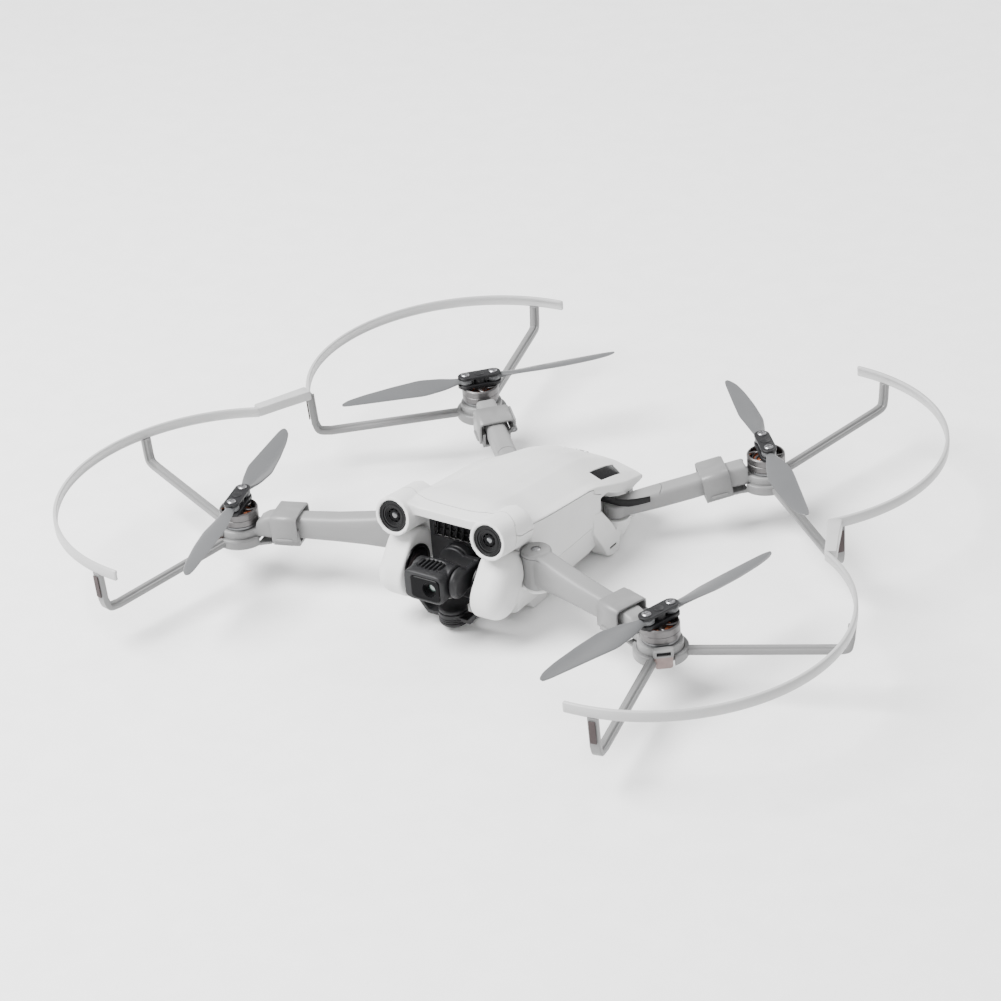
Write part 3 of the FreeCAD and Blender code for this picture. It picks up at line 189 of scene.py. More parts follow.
WHITE = moulded("shell_white", (0.62, 0.62, 0.615), 0.5, coat=0.08)
ARM = moulded("arm_grey", (0.2, 0.2, 0.2), 0.48, coat=0.08)
GUARD = moulded("guard_grey", (0.40, 0.40, 0.40), 0.42, coat=0.15)
CLIP = moulded("guard_clip_grey", (0.17, 0.17, 0.17), 0.42, coat=0.12)
BLACK = moulded("black_plastic", (0.010, 0.010, 0.011), 0.5, grain=0.5, specular=0.3)
SATIN_BLACK = moulded("satin_black", (0.003, 0.003, 0.0035), 0.36, grain=0.2, specular=0.2)
GLOSS_BLACK = moulded("gloss_black", (0.002, 0.002, 0.0025), 0.24, grain=0.02, coat=0.02, specular=0.06)
# This dark grey is painted shade for the nose recess under the brow.
RECESS_SHADE = moulded("recess_painted_shade", (0.035, 0.035, 0.037), 0.6, grain=0.4, specular=0.25)
moulded("soft_rubber", (0.045, 0.033, 0.033), 0.75, grain=0.8, grain_scale=1500.0)
BELL = turned_metal("bell_metal", (0.13, 0.125, 0.125), 0.38)
BASE = turned_metal("motor_base_metal", (0.2, 0.2, 0.205), 0.4)
STEEL = turned_metal("pin_steel", (0.3, 0.3, 0.31), 0.32)
COPPER = wound_copper("winding_copper")
moulded("board_green", (0.01, 0.09, 0.04), 0.35, coat=0.5)
turned_metal("sink_metal", (0.45, 0.45, 0.46), 0.45)
PIPE = frosted("light_pipe", (0.85, 0.87, 0.86), 0.15)
AMBER = frosted("amber_light", (0.21, 0.155, 0.145))
BLADE_GREY = moulded("blade_grey", (0.09, 0.092, 0.095), 0.36, grain=0.1, coat=0.15)
HUB = moulded("hub_black", (0.008, 0.008, 0.009), 0.45, grain=0.4, specular=0.3)
# The last colour of each lens glass is its painted reflection.
EYE_GLASS = lens_glass("eye_glass", (0.004, 0.004, 0.005), (0.03, 0.032, 0.036))
CAMERA_GLASS = lens_glass("camera_glass", (0.01, 0.014, 0.014), (0.16, 0.22, 0.2))


def cad_material(node):
    """The plain material of a CAD node's slot."""
    slot = SLOT_OF[node]
    return EYE_GLASS if slot == "lens_glass" else MATERIALS[slot]


for node_name, cad_object in frame["nodes"].items():
    cad_object.data.materials.clear()
    cad_object.data.materials.append(cad_material(node_name))


# ---------------------------------------------------------------- mesh helpers

def around(count):
    """Equal angles round a full turn."""
    return [2 * math.pi * k / count for k in range(count)]


def linked(name, data):
    """A new object in the scene."""
    item = bpy.data.objects.new(name, data)
    bpy.context.scene.collection.objects.link(item)
    return item


def from_work(work):
    """A new object from an edited mesh."""
    data = bpy.data.meshes.new("piece")
    work.to_mesh(data)
    work.free()
    return linked("piece", data)


def mesh_object(points, faces):
    """A closed mesh from points in millimetres, its faces pointing outward."""
    data = bpy.data.meshes.new("piece")
    data.from_pydata([tuple(Vector(p) * MM) for p in points], [], faces)
    data.validate()
    work = bmesh.new()
    work.from_mesh(data)
    bpy.data.meshes.remove(data)
    bmesh.ops.recalc_face_normals(work, faces=work.faces)
    return from_work(work)


def lofted(rings, closed_path=False):
    """A tube through rings that have the same number of points, with flat end caps."""
    count = len(rings[0])
    points = [p for ring in rings for p in ring]
    faces = []
    for row in range(len(rings) if closed_path else len(rings) - 1):
        here = row * count
        there = ((row + 1) % len(rings)) * count
        for column in range(count):
            after = (column + 1) % count
            faces.append((here + column, here + after, there + after, there + column))
    if not closed_path:
        faces.append(tuple(reversed(range(count))))
        faces.append(tuple(range(len(points) - count, len(points))))
    return mesh_object(points, faces)


def axes_for(axis):
    """Two unit vectors square to an axis."""
    axis = Vector(axis).normalized()
    first = (Z if abs(axis.z) < 0.9 else X).cross(axis).normalized()
    return first, axis.cross(first), axis


def outward_at(axis, angle):
    """The unit vector square to an axis at an angle round it."""
    first, second, _ = axes_for(axis)
    return first * math.cos(angle) + second * math.sin(angle)


def turned(profile, centre, axis=Z, steps=64):
    """A turned piece: a closed profile of (radius, height along the axis) swept round it."""
    along = Vector(axis).normalized()
    rings = []
    for angle in around(steps):
        out = outward_at(axis, angle)
        rings.append([Vector(centre) + out * max(radius, 0.001) + along * height
                      for radius, height in profile])
    return lofted(rings, closed_path=True)


def block(low, high):
    corners = [(x, y, z) for x in (low[0], high[0]) for y in (low[1], high[1]) for z in (low[2], high[2])]
    faces = [(0, 1, 3, 2), (4, 6, 7, 5), (0, 4, 5, 1), (2, 3, 7, 6), (0, 2, 6, 4), (1, 5, 7, 3)]
    return mesh_object(corners, faces)


def side_block(side, low, high):
    """A block given for the +X side, built on either side."""
    x0, x1 = sorted((low[0] * side, high[0] * side))
    return block((x0, *low[1:]), (x1, *high[1:]))


def drum(radius, start, end, steps=48):
    """A plain cylinder between two points, used to build up or cut other shapes."""
    spokes = [outward_at(Vector(end) - Vector(start), angle) * radius for angle in around(steps)]
    return lofted([[Vector(base) + spoke for spoke in spokes] for base in (start, end)])


def post(radius, spot, low, high, steps=48):
    """An upright drum."""
    return drum(radius, (spot.x, spot.y, low), (spot.x, spot.y, high), steps)


def pushed(outline, direction):
    """A flat outline of points pushed along a direction."""
    near = [Vector(p) for p in outline]
    return lofted([near, [p + Vector(direction) for p in near]])


def superellipse(centre, across, upward, half_w, half_h, power=3.0, steps=40):
    """A closed rounded-box ring in the plane of two unit vectors."""
    ring = []
    for angle in around(steps):
        c, s = math.cos(angle), math.sin(angle)
        u = math.copysign(abs(c) ** (2 / power), c) * half_w
        v = math.copysign(abs(s) ** (2 / power), s) * half_h
        ring.append(Vector(centre) + across * u + upward * v)
    return ring


def stacked(origin, along, rows, power=3.0, steps=40):
    """Rounded boxes lofted along a main axis: rows of distance, two half sizes and maybe a power."""
    across, upward = [axis for axis in (X, Y, Z) if axis != along]
    return lofted([
        superellipse(Vector(origin) + along * reach, across, upward, wide, tall, *(own or [power]), steps)
        for reach, wide, tall, *own in rows
    ])


def evaluate(item):
    """Bake an object's modifiers into its mesh."""
    bpy.context.view_layer.update()
    graph = bpy.context.evaluated_depsgraph_get()
    baked = bpy.data.meshes.new_from_object(item.evaluated_get(graph))
    item.modifiers.clear()
    item.data = baked
    return item


def combine(item, others, operation):
    """Boolean the other solids into or out of an item, and remove them."""
    for other in others:
        modifier = item.modifiers.new("combine", "BOOLEAN")
        modifier.operation = operation
        modifier.solver = "MANIFOLD"
        modifier.object = other
        evaluate(item)
        bpy.data.objects.remove(other)
    return item


def added(item, *others):
    return combine(item, others, "UNION")


def cut(item, *others):
    return combine(item, others, "DIFFERENCE")


def melted(item, voxel, rounds):
    """Remesh a solid finely and relax it, so that its edges and junctions become soft fillets."""
    remesh = item.modifiers.new("remesh", "REMESH")
    remesh.mode = "VOXEL"
    remesh.voxel_size = voxel * MM
    relax = item.modifiers.new("relax", "SMOOTH")
    relax.iterations = rounds
    relax.factor = 0.5
    return evaluate(item)


def joined(items):
    """Several meshes as one object."""
    work = bmesh.new()
    for item in items:
        work.from_mesh(item.data)
        bpy.data.objects.remove(item)
    return from_work(work)


def sided(item, side):
    """The piece itself on the left, its mirror image on the right."""
    if side > 0:
        return item
    work = bmesh.new()
    work.from_mesh(item.data)
    bpy.data.objects.remove(item)
    bmesh.ops.scale(work, vec=(-1, 1, 1), verts=work.verts)
    bmesh.ops.reverse_faces(work, faces=work.faces)
    return from_work(work)


def bevelled(item, width):
    """Round the sharp edges of a clean mesh."""
    bevel = item.modifiers.new("bevel", "BEVEL")
    bevel.width = width * MM
    bevel.segments = 2
    bevel.limit_method = "ANGLE"
    bevel.angle_limit = math.radians(32)
    return evaluate(item)


def placed(item, name, material, *nodes, body=None, sharp=38):
    """Finish a piece: name, shading, material and body, and hide the nodes it stands for.

    It rides with the first of those nodes, or else on the named body or the airframe.
    """
    item.name = name
    item.data.name = name
    item.data.materials.clear()
    item.data.materials.append(material)
    item.data.shade_smooth()
    item.data.set_sharp_from_angle(angle=math.radians(sharp))
    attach(item, body or (BODY_OF[nodes[0]] if nodes else "airframe"))
    if nodes:
        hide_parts(*nodes)


def refined(node, width):
    """A CAD node with its tessellation cleaned and its hard edges rounded."""
    work = bmesh.new()
    work.from_mesh(frame["nodes"][node].data)
    bmesh.ops.remove_doubles(work, verts=work.verts, dist=0.000002)
    bmesh.ops.dissolve_limit(work, angle_limit=math.radians(0.6), verts=work.verts, edges=work.edges)
    hard = [e for e in work.edges if len(e.link_faces) == 2 and e.calc_face_angle() > math.radians(32)]
    bmesh.ops.bevel(work, geom=hard, offset=width * MM, segments=2, profile=0.6, affect="EDGES",
                    clamp_overlap=True)
    placed(from_work(work), node + "_finished", cad_material(node), node, sharp=40)


def heading(path, index):
    """The direction of a path at one of its points."""
    return path[min(index + 1, len(path) - 1)] - path[max(index - 1, 0)]


def groove(item, path, direction, width=0.3, depth=0.45):
    """Cut a narrow seam along a path of points seen along a direction."""
    direction = Vector(direction).normalized()
    tree = BVHTree.FromObject(item, bpy.context.evaluated_depsgraph_get())
    casts = [tree.ray_cast((Vector(point) - direction * 60) * MM, direction)[0] for point in path]
    hits = [hit / MM for hit in casts if hit is not None]
    rings = []
    for index, hit in enumerate(hits):
        across = heading(hits, index).cross(direction).normalized() * (width / 2)
        low, high = hit + direction * depth, hit - direction * 0.8
        rings.append([low - across, low + across, high + across, high - across])
    return cut(item, lofted(rings))


def curve_points(knots, steps=8):
    """A smooth open curve through given points, by Catmull-Rom interpolation."""
    knots = [Vector(k) for k in knots]
    padded = [knots[0] * 2 - knots[1]] + knots + [knots[-1] * 2 - knots[-2]]
    points = []
    for index in range(1, len(padded) - 2):
        a, b, c, d = padded[index - 1:index + 3]
        for step in range(steps):
            t = step / steps
            points.append(0.5 * ((2 * b) + (c - a) * t + (2 * a - 5 * b + 4 * c - d) * t ** 2
                                 + (3 * b - a - 3 * c + d) * t ** 3))
    return points + [knots[-1]]


def swept(path, section, normals):
    """A section of (across, up) offsets carried along a path; normals give the across direction."""
    rings = []
    for index, (point, normal) in enumerate(zip(path, normals)):
        across = normal.normalized()
        upward = heading(path, index).normalized().cross(across).normalized()
        rings.append([point + across * u + upward * v for u, v in section])
    return lofted(rings)


# ---------------------------------------------------------------- body

# Stations along the body: y, roof height, crease x and z, shoulder x and z, side x and z, hem.
STATIONS = (
    (-71.0, 58.6, 14.0, 58.8, 24.0, 60.6, 27.0, 58.6, 54.4),
    (-57.0, 61.2, 16.0, 60.6, 27.0, 57.4, 31.0, 51.6, 49.4),
    (-37.0, 57.4, 16.0, 55.6, 27.6, 49.9, 32.0, 48.2, 47.0),
    (2.6, 51.4, 14.5, 49.4, 27.6, 43.6, 32.0, 42.9, 41.6),
    (17.0, 48.6, 14.0, 46.4, 27.2, 39.2, 31.8, 37.2, 33.0),
    (32.0, 42.2, 13.0, 40.4, 25.6, 35.0, 31.2, 31.4, 25.2),
    (49.5, 30.8, 14.0, 30.2, 25.0, 27.4, 28.6, 26.0, 24.1),
)
# Half width of the belly along y, and its height.
BELLY_STATIONS = ((-57.0, 25.0), (-37.0, 25.5), (2.6, 26.0), (17.0, 24.0), (32.0, 24.0), (46.0, 24.0))
BELLY_Z = 6.0
ROOF_NORMAL = Vector((0, 0.546, 0.838))
LEVEL_LIGHTS = [Vector((x, 36.5, 39.5)) for x in (-6.0, -2.0, 2.0, 6.0)]
EYE = Vector((25.6, -75.0, 53.2))
EYE_TILT = math.radians(8.0)
EYE_AXIS = Vector((0, -math.cos(EYE_TILT), math.sin(EYE_TILT)))
EYE_HOUSING, EYE_BORE = 9.3, 7.5
FRONT_HINGE = Vector((36.5, -53.5, 32.3))
REAR_HINGE = Vector((27.3, 27.0, 18.2))
# Seams seen from the side: width, depth, steps between points and the route in y and z.
SIDE_SEAMS = (
    (0.42, 0.8, 4, ((-63.2, 57.4), (-65.0, 54.0), (-65.7, 50.4), (-65.6, 47.0))),
    (0.42, 0.8, 4, ((-65.0, 53.6), (-61.5, 51.6), (-56.0, 50.8), (-46.0, 49.2), (-37.0, 47.7), (-17.0, 45.0),
                    (0.9, 42.4), (2.6, 39.8))),
    (0.4, 0.7, 1, ((2.6, 39.6), (5.6, 38.0), (8.8, 36.4))),
    (0.22, 0.35, 1, ((-56, 21.9), (-30, 21.9), (0, 21.9), (8.6, 21.9))),
)


def on_side(point, side):
    return Vector((point[0] * side, point[1], point[2]))


def interpolated(table, y):
    """Values of a table at a distance along the body, straight between its rows."""
    for near, far in zip(table, table[1:]):
        if near[0] <= y <= far[0] + 0.001:
            share = (y - near[0]) / (far[0] - near[0])
            return [a + (b - a) * share for a, b in zip(near, far)]
    return list(table[-1])


def softened(table, y, reach=5.0):
    """A table row averaged over a short reach, which rounds the kinks between stations."""
    reach = min(reach, y - table[0][0], table[-1][0] - y)
    rows = [interpolated(table, y + reach * k / 4) for k in range(-4, 5)]
    return [sum(values) / len(rows) for values in zip(*rows)]


def both_sides(y, outline):
    """A closed ring at one y from the (x, z) points of its +X half, top to bottom."""
    half = [Vector((x, y, z)) for x, z in outline]
    return half + [on_side(p, -1) for p in reversed(half)]


def steps_between(first, last, size):
    count = max(1, round((last - first) / size))
    return [first + (last - first) * k / count for k in range(count + 1)]


def upper_ring(y):
    _, roof, crease_x, crease_z, shoulder_x, shoulder_z, side_x, side_z, hem = softened(STATIONS, y)
    return both_sides(y, (
        (0.01, roof), (crease_x * 0.5, roof - (roof - crease_z) * 0.18), (crease_x, crease_z),
        (shoulder_x, shoulder_z), (side_x, side_z), (side_x, hem),
    ))


def lower_ring(y):
    row = softened(STATIONS, y)
    side_x, hem = row[6], row[8]
    belly = softened(BELLY_STATIONS, y)[1]
    return both_sides(y, (
        (side_x, hem + 0.5), (side_x - 1.5, 22.0), (belly + 1.2, BELLY_Z + 1.4), (belly - 1.2, BELLY_Z),
    ))


def eye_drum(radius, back, proud, side):
    centre = on_side(EYE, side)
    return drum(radius, centre - EYE_AXIS * back, centre + EYE_AXIS * proud)


def window_block(side):
    outline = ((19.05, 38.75), (26.15, 34.55), (27.55, 15.85), (21.65, 14.65))
    return pushed([(x * side, y, 30.0) for x, y in outline], Z * 25)


def make_body():
    upper = lofted([upper_ring(y) for y in steps_between(-71.0, 49.5, 2.5)])
    lower = lofted([lower_ring(y) for y in steps_between(-57.0, 46.0, 2.5)])
    cut(lower, *[side_block(side, (21.4, 9, 11.6), (40.0, 47, 34.5)) for _, side in SIDES])
    adds = [lower] + [eye_drum(EYE_HOUSING, 24, 0, side) for _, side in SIDES]
    battery_bay = block((-20.1, -32.3, 7.3), (20.1, 60, 23.9))
    nose_recess = block((-16.1, -60, 36.9), (16.1, -50, 50.0))
    cuts = [battery_bay, nose_recess] + [eye_drum(EYE_BORE, 18, 2, side) for _, side in SIDES]
    for _, side in SIDES:
        hinge = on_side(FRONT_HINGE, side)
        adds.append(post(5.6, hinge, 20.6, 22.7))
        adds.append(side_block(side, (28.0, hinge.y - 3.5, 20.6), (FRONT_HINGE.x, hinge.y + 6.2, 22.7)))
        cuts.append(post(7.4, hinge, 22.7, 41.8))
    shell = melted(cut(added(upper, *adds), *cuts), 0.5, 4)
    button = cad_middle("power_button")
    crisp = [window_block(side) for _, side in SIDES]
    crisp.append(drum(3.3, button - ROOF_NORMAL * 4, button + ROOF_NORMAL * 6))
    crisp += [drum(0.74, spot - ROOF_NORMAL * 2.4, spot + ROOF_NORMAL * 4, 20) for spot in LEVEL_LIGHTS]
    charging_port = block((4.9, 46, 25.2), (15.1, 51, 28.8))
    card_slot = block((-15.1, 46, 26.0), (-3.9, 51, 28.0))
    cut(shell, *crisp, charging_port, card_slot)
    cut_body_seams(shell)
    placed(shell, "body_shell", WHITE, "top_shell", "lower_shell")


def cut_body_seams(shell):
    """Panel seams: across the brow, round each eye housing, and down each side to the skirt."""
    half = ((0, -64.8), (8, -64.7), (14, -64.0), (19, -62.0), (25, -59.6), (30, -61.2), (33.2, -63.0))
    brow = [(-x, y, 60) for x, y in reversed(half)] + [(x, y, 60) for x, y in half[1:]]
    groove(shell, curve_points(brow, 5), -Z, 0.4, 0.7)
    for _, side in SIDES:
        for width, depth, steps, route in SIDE_SEAMS:
            path = [(60 * side, y, z) for y, z in route]
            groove(shell, curve_points(path, steps), X * -side, width, depth)


def make_nose_shade_and_slats():
    """Painted shade: a dark panel behind the camera and a sheet under the brow, where the brow shades the
    nose recess; with the slanted slats of the air intake.
    """
    walls = (
        (-18.3, 18.3, 15.0, 37.2), (-18.3, 18.3, 49.0, 53.4),
        (-18.3, -15.7, 37.0, 49.2), (15.7, 18.3, 37.0, 49.2),
    )
    # Painted shade: thin dark sheets on the back wall of the nose recess, and one under the brow.
    shade_sheets = [block((x0, -57.38, z0), (x1, -56.9, z1)) for x0, x1, z0, z1 in walls]
    brow_underside_shade = ((-70.0, 54.1), (-57.4, 49.2), (-57.4, 49.8), (-70.0, 54.7))
    shade_sheets.append(pushed([(-15.8, y, z) for y, z in brow_underside_shade], X * 31.6))
    slats = [block((-15.9, -55.9, 37.1), (15.9, -55.5, 49.4))]
    for x in steps_between(-14.0, 14.0, 3.5):
        outline = ((-1.5, 37.6), (-0.55, 37.6), (1.5, 48.7), (0.55, 48.7))
        slats.append(bevelled(pushed([(x + lean, -57.36, z) for lean, z in outline], Y * 1.5), 0.15))
    slats += [bevelled(block((-15.9, -56.6, z), (15.9, -56.0, z + 0.7)), 0.12) for z in (40.6, 43.6, 46.6)]
    placed(joined(shade_sheets), "nose_painted_shade", RECESS_SHADE)
    placed(joined(slats), "nose_intake_slats", BLACK, "nose_grille")


def make_arm_root_strips():
    """Black flexible strip that runs from the body slot out along each rear arm's front face."""
    flat = -arm_flat(1)
    forward = Vector((flat.y, -flat.x, 0))
    stations = (
        (-9.0, 27.2, 1.4, 2.6), (-4.0, 26.0, 1.7, 3.9), (1.0, 24.4, 1.9, 5.0), (5.0, 23.6, 1.9, 5.35),
        (9.0, 23.6, 1.8, 5.4), (13.0, 23.9, 1.6, 5.4), (15.5, 24.1, 1.5, 5.3),
    )
    for name, side in SIDES:
        rings = []
        for distance, z, half, out in stations:
            centre = Vector((REAR_HINGE.x, REAR_HINGE.y, z)) + flat * distance + forward * out
            rings.append([on_side(p, side) for p in superellipse(centre, forward, Z, 0.45, half, 3, 20)])
        placed(lofted(rings), "rear_arm_flex_strip_" + name, SATIN_BLACK, "rear_hinge_covers")


def make_feet():
    """Landing feet: front pads, and angular rear wedges with a small slot in the outer face, its floor a dark
    block of painted shade.
    """
    pad_outline = (
        (-45, 6.2), (-44.2, 4.6), (-41, 0.3), (-39.8, 0), (-31.2, 0), (-30, 0.3), (-25.2, 4.4), (-24, 6.2),
    )
    wedge_outline = (
        (1.6, 18.6), (8.0, 9.4), (12.4, 1.4), (16.5, 0.0), (21.4, 0.0), (23.0, 2.6), (24.6, 10.6),
        (37.4, 9.8), (38.0, 11.5), (20.4, 11.7), (18.0, 16.0), (9.4, 27.0), (3.0, 28.6),
    )
    seat_profile = [(0, 5.0), (3.2, 5.0), (6.0, 10.8), (6.5, 13.4), (6.5, 15.1), (0, 15.1)]
    for name, side in SIDES:
        pad = pushed([(17.5 * side, y, z) for y, z in pad_outline], X * (6.5 * side))
        placed(melted(pad, 0.35, 4), "front_foot_" + name, WHITE, "landing_feet")
        wedge = pushed([(22.2 * side, y, z) for y, z in wedge_outline], X * (8.9 * side))
        added(wedge, turned(seat_profile, (REAR_HINGE.x * side, REAR_HINGE.y, 0)))
        melted(wedge, 0.35, 4)
        cut(wedge, bevelled(side_block(side, (30.6, 14.0, 4.2), (32.0, 19.8, 5.4)), 0.3))
        placed(wedge, "rear_foot_" + name, WHITE, "landing_feet")
        # A dark block at the bottom of the slot is painted shade.
        dark = side_block(side, (30.2, 13.6, 3.9), (30.75, 20.2, 5.7))
        placed(bevelled(dark, 0.1), "rear_foot_slot_shade_" + name, SATIN_BLACK)


def make_cheek(name, side):
    """A leaning rounded pod beside the camera, domed on its outer face."""
    high, low = Vector((0, -65.0, 32.6)), Vector((0, -72.4, 23.6))
    along = (high - low).normalized()
    across = X.cross(along)
    inner, outer, radius, dome = 18.5, 34.0, 10.5, 7.5
    profile = [(inner, 1.2), (inner + 0.35, 0.35), (inner + 1.2, 0.0)]
    for step in range(11):
        angle = math.radians(9 * step)
        profile.append((outer - dome * (1 - math.sin(angle)), dome * (1 - math.cos(angle))))
    rings = []
    for x, shrink in profile:
        ring = []
        for centre, start in ((low, 0.0), (high, math.pi)):
            for k in range(17):
                angle = start + math.pi * k / 16
                out = (across * math.cos(angle) - along * math.sin(angle)) * (radius - shrink)
                ring.append(on_side(centre + out + X * x, side))
        rings.append(ring)
    pod = added(lofted(rings), side_block(side, (inner + 1, -66, 16), (30.5, -56.5, 40)))
    cut(pod, post(7.3, on_side(FRONT_HINGE, side), 10, 46), side_block(side, (10, -57, 0), (40, -40, 60)),
        eye_drum(EYE_HOUSING + 0.05, 24, 2, side))
    placed(melted(pod, 0.4, 5), "cheek_pod_" + name, WHITE, "cheek_" + name)


def make_eyes():
    """Forward sensors: stepped black barrels, a notched lens ring and a domed glass."""
    barrel = [
        (3.3, -2.6), (3.3, -1.7), (3.9, -1.7), (3.9, -1.35), (4.5, -1.35), (4.5, -1.0), (5.2, -1.0),
        (5.2, -1.3), (5.7, -1.3), (5.7, -0.8), (6.5, -0.8), (6.7, -0.5), (7.3, -0.5), (7.3, -12.0),
        (3.3, -12.0),
    ]
    petal = [(0, -0.5), (0.62, -0.5), (0.62, 0.0), (0.45, 0.14), (0, 0.16)]
    ring = [(1.35, -0.5), (2.5, -0.5), (2.5, 0.02), (1.9, 0.12), (1.35, -0.1)]
    for name, side in SIDES:
        centre = on_side(EYE, side)
        rings = turned(barrel, centre, EYE_AXIS)
        placed(rings, "eye_barrel_rings_" + name, SATIN_BLACK, "eye_barrels", sharp=30)
        base = centre - EYE_AXIS * 1.9
        spots = [base + outward_at(EYE_AXIS, angle) * 2.75 for angle in around(8)]
        notched = [turned(petal, spot, EYE_AXIS, 14) for spot in spots]
        notched.append(turned(ring, base, EYE_AXIS, 36))
        placed(joined(notched), "eye_notched_ring_" + name, GLOSS_BLACK)
        dome = [(0, -1.4)] + arc_profile(1.9, 0.66, -1.15, 18)
        glass = turned(dome, centre - EYE_AXIS * 1.3, EYE_AXIS, 36)
        placed(glass, "eye_glass_" + name, EYE_GLASS, "eye_lenses")


def arc_profile(radius, rise, base, step):
    """Points of a dome from its rim to its crown."""
    angles = [math.radians(degrees) for degrees in range(90, -1, -step)]
    return [(radius * math.sin(angle), base + rise * math.cos(angle)) for angle in angles]


# ---------------------------------------------------------------- arms

def motor_of(end):
    """Foot of the left motor's axis at the front (-1) or the rear (1)."""
    middle = cad_middle("motor_bell_front_left" if end < 0 else "motor_bell_rear_left")
    return Vector((middle.x, middle.y, 0))


def arm_flat(end):
    """Level direction from a left motor to its arm's hinge."""
    toward = (FRONT_HINGE if end < 0 else REAR_HINGE) - motor_of(end)
    return Vector((toward.x, toward.y, 0)).normalized()


def arm_piece(end, sections, hinge_piece, side):
    """An arm: rounded beam sections, a hinge piece and a motor cup, melted into one."""
    flat = -arm_flat(end)
    across = Z.cross(flat)
    hinge = FRONT_HINGE if end < 0 else REAR_HINGE
    beam = lofted([
        superellipse(Vector((hinge.x, hinge.y, z)) + flat * distance, across, Z, half_w, half_h, power, 36)
        for distance, z, half_w, half_h, power in sections
    ])
    cup = [(0, 21.0), (8.6, 21.0), (9.6, 21.5), (10.2, 22.6), (10.2, 27.6), (9.9, 28.5), (0, 28.5)]
    added(beam, turned(cup, motor_of(end)), hinge_piece)
    cut(beam, post(10.8, motor_of(end), 28.5, 50))
    return sided(melted(beam, 0.4, 5), side)


def make_front_arm(name, side):
    barrel = [(0, 23.0), (6.2, 23.0), (7.0, 23.9), (7.0, 40.6), (6.2, 41.3), (0, 41.3)]
    sections = (
        (1.0, 32.4, 5.6, 8.6, 5), (9.0, 32.2, 5.6, 8.2, 4), (18.0, 31.9, 5.8, 7.3, 3.6),
        (32.0, 31.2, 5.6, 6.3, 3.6), (50.0, 30.5, 5.2, 5.8, 3.6), (63.0, 29.9, 5.2, 5.9, 6),
        (67.0, 29.4, 5.2, 5.3, 5), (71.0, 28.2, 5.1, 4.2, 4), (74.0, 25.8, 4.9, 3.3, 3.4),
        (78.0, 25.2, 4.6, 3.0, 3.2),
    )
    arm = arm_piece(-1, sections, turned(barrel, (FRONT_HINGE.x, FRONT_HINGE.y, 0)), side)
    hinge = on_side(FRONT_HINGE, side)
    cuff = turned([(6.6, -0.15), (9, -0.15), (9, 0.15), (6.6, 0.15)], (hinge.x, hinge.y, 39.2))
    pin_seat = post(2.3, hinge, 40.7, 45.0, 32)
    cut(arm, cuff, pin_seat)
    seam = [on_side((44.6, -50.6, z), side) for z in (20, 28, 36, 44)]
    groove(arm, curve_points(seam, 4), -Y, 0.28, 0.4)
    placed(arm, "front_arm_skin_" + name, ARM, "front_arm_" + name)


def make_rear_arm(name, side):
    axis = Vector((0.05, -0.05, 1)).normalized()
    knuckle = [(0, -2.6), (4.8, -2.6), (5.6, -1.9), (5.6, 3.7), (4.8, 4.4), (0, 4.4)]
    sections = (
        (1.0, 19.4, 5.1, 3.8, 4), (10.0, 20.8, 5.3, 4.5, 3.6), (20.0, 22.2, 5.2, 5.0, 3.4),
        (36.0, 24.6, 4.9, 5.2, 3.4), (52.0, 27.6, 4.8, 5.3, 4), (61.0, 28.7, 4.9, 5.3, 5),
        (65.0, 28.0, 4.8, 4.5, 4), (69.0, 25.4, 4.6, 3.1, 3.2),
    )
    arm = arm_piece(1, sections, turned(knuckle, REAR_HINGE, axis), side)
    flat = -arm_flat(1)
    start = Vector((REAR_HINGE.x, REAR_HINGE.y, 60))
    seam = []
    for u in (-4.6, -3, -1.5, 0, 1.5, 3, 4.6):
        seam.append(on_side(start + Z.cross(flat) * u + flat * (22.1 - 0.09 * u * u), side))
    groove(arm, seam, -Z, 0.28, 0.4)
    placed(arm, "rear_arm_skin_" + name, ARM, "rear_arm_" + name)


def make_hinge_pins():
    """Headed steel pins of the arm folds and of the guard straps."""
    front = [(0, 21.4), (1.5, 21.4), (1.5, 40.5), (2.0, 40.5), (2.0, 40.95), (1.7, 41.15), (0, 41.15)]
    rear = [(0, -5.5), (1.4, -5.5), (1.4, 4.2), (1.9, 4.2), (1.9, 4.6), (1.6, 4.8), (0, 4.8)]
    cross = [(0, -6.4), (0.7, -6.4), (0.9, -6.2), (0.9, 6.2), (0.7, 6.4), (0, 6.4)]
    pins = []
    for _, side in SIDES:
        pins.append(turned(front, (FRONT_HINGE.x * side, FRONT_HINGE.y, 0), steps=32))
        pins.append(turned(rear, on_side(REAR_HINGE, side), steps=32))
        for end in (-1, 1):
            pin = turned(cross, (0, HINGE_ACROSS, HINGE_UP), X, 24)
            pin.data.transform(strap_matrix(end))
            pins.append(sided(pin, side))
    placed(joined(pins), "hinge_pins_headed", STEEL, "hinge_pins")


def at_motor(motor, turn):
    """Frame at the foot of a motor's axis, turned about it."""
    return Matrix.Translation((motor.x * MM, motor.y * MM, 0)) @ Matrix.Rotation(turn, 4, "Z")


LAMP_TURN = math.radians(-52.0)


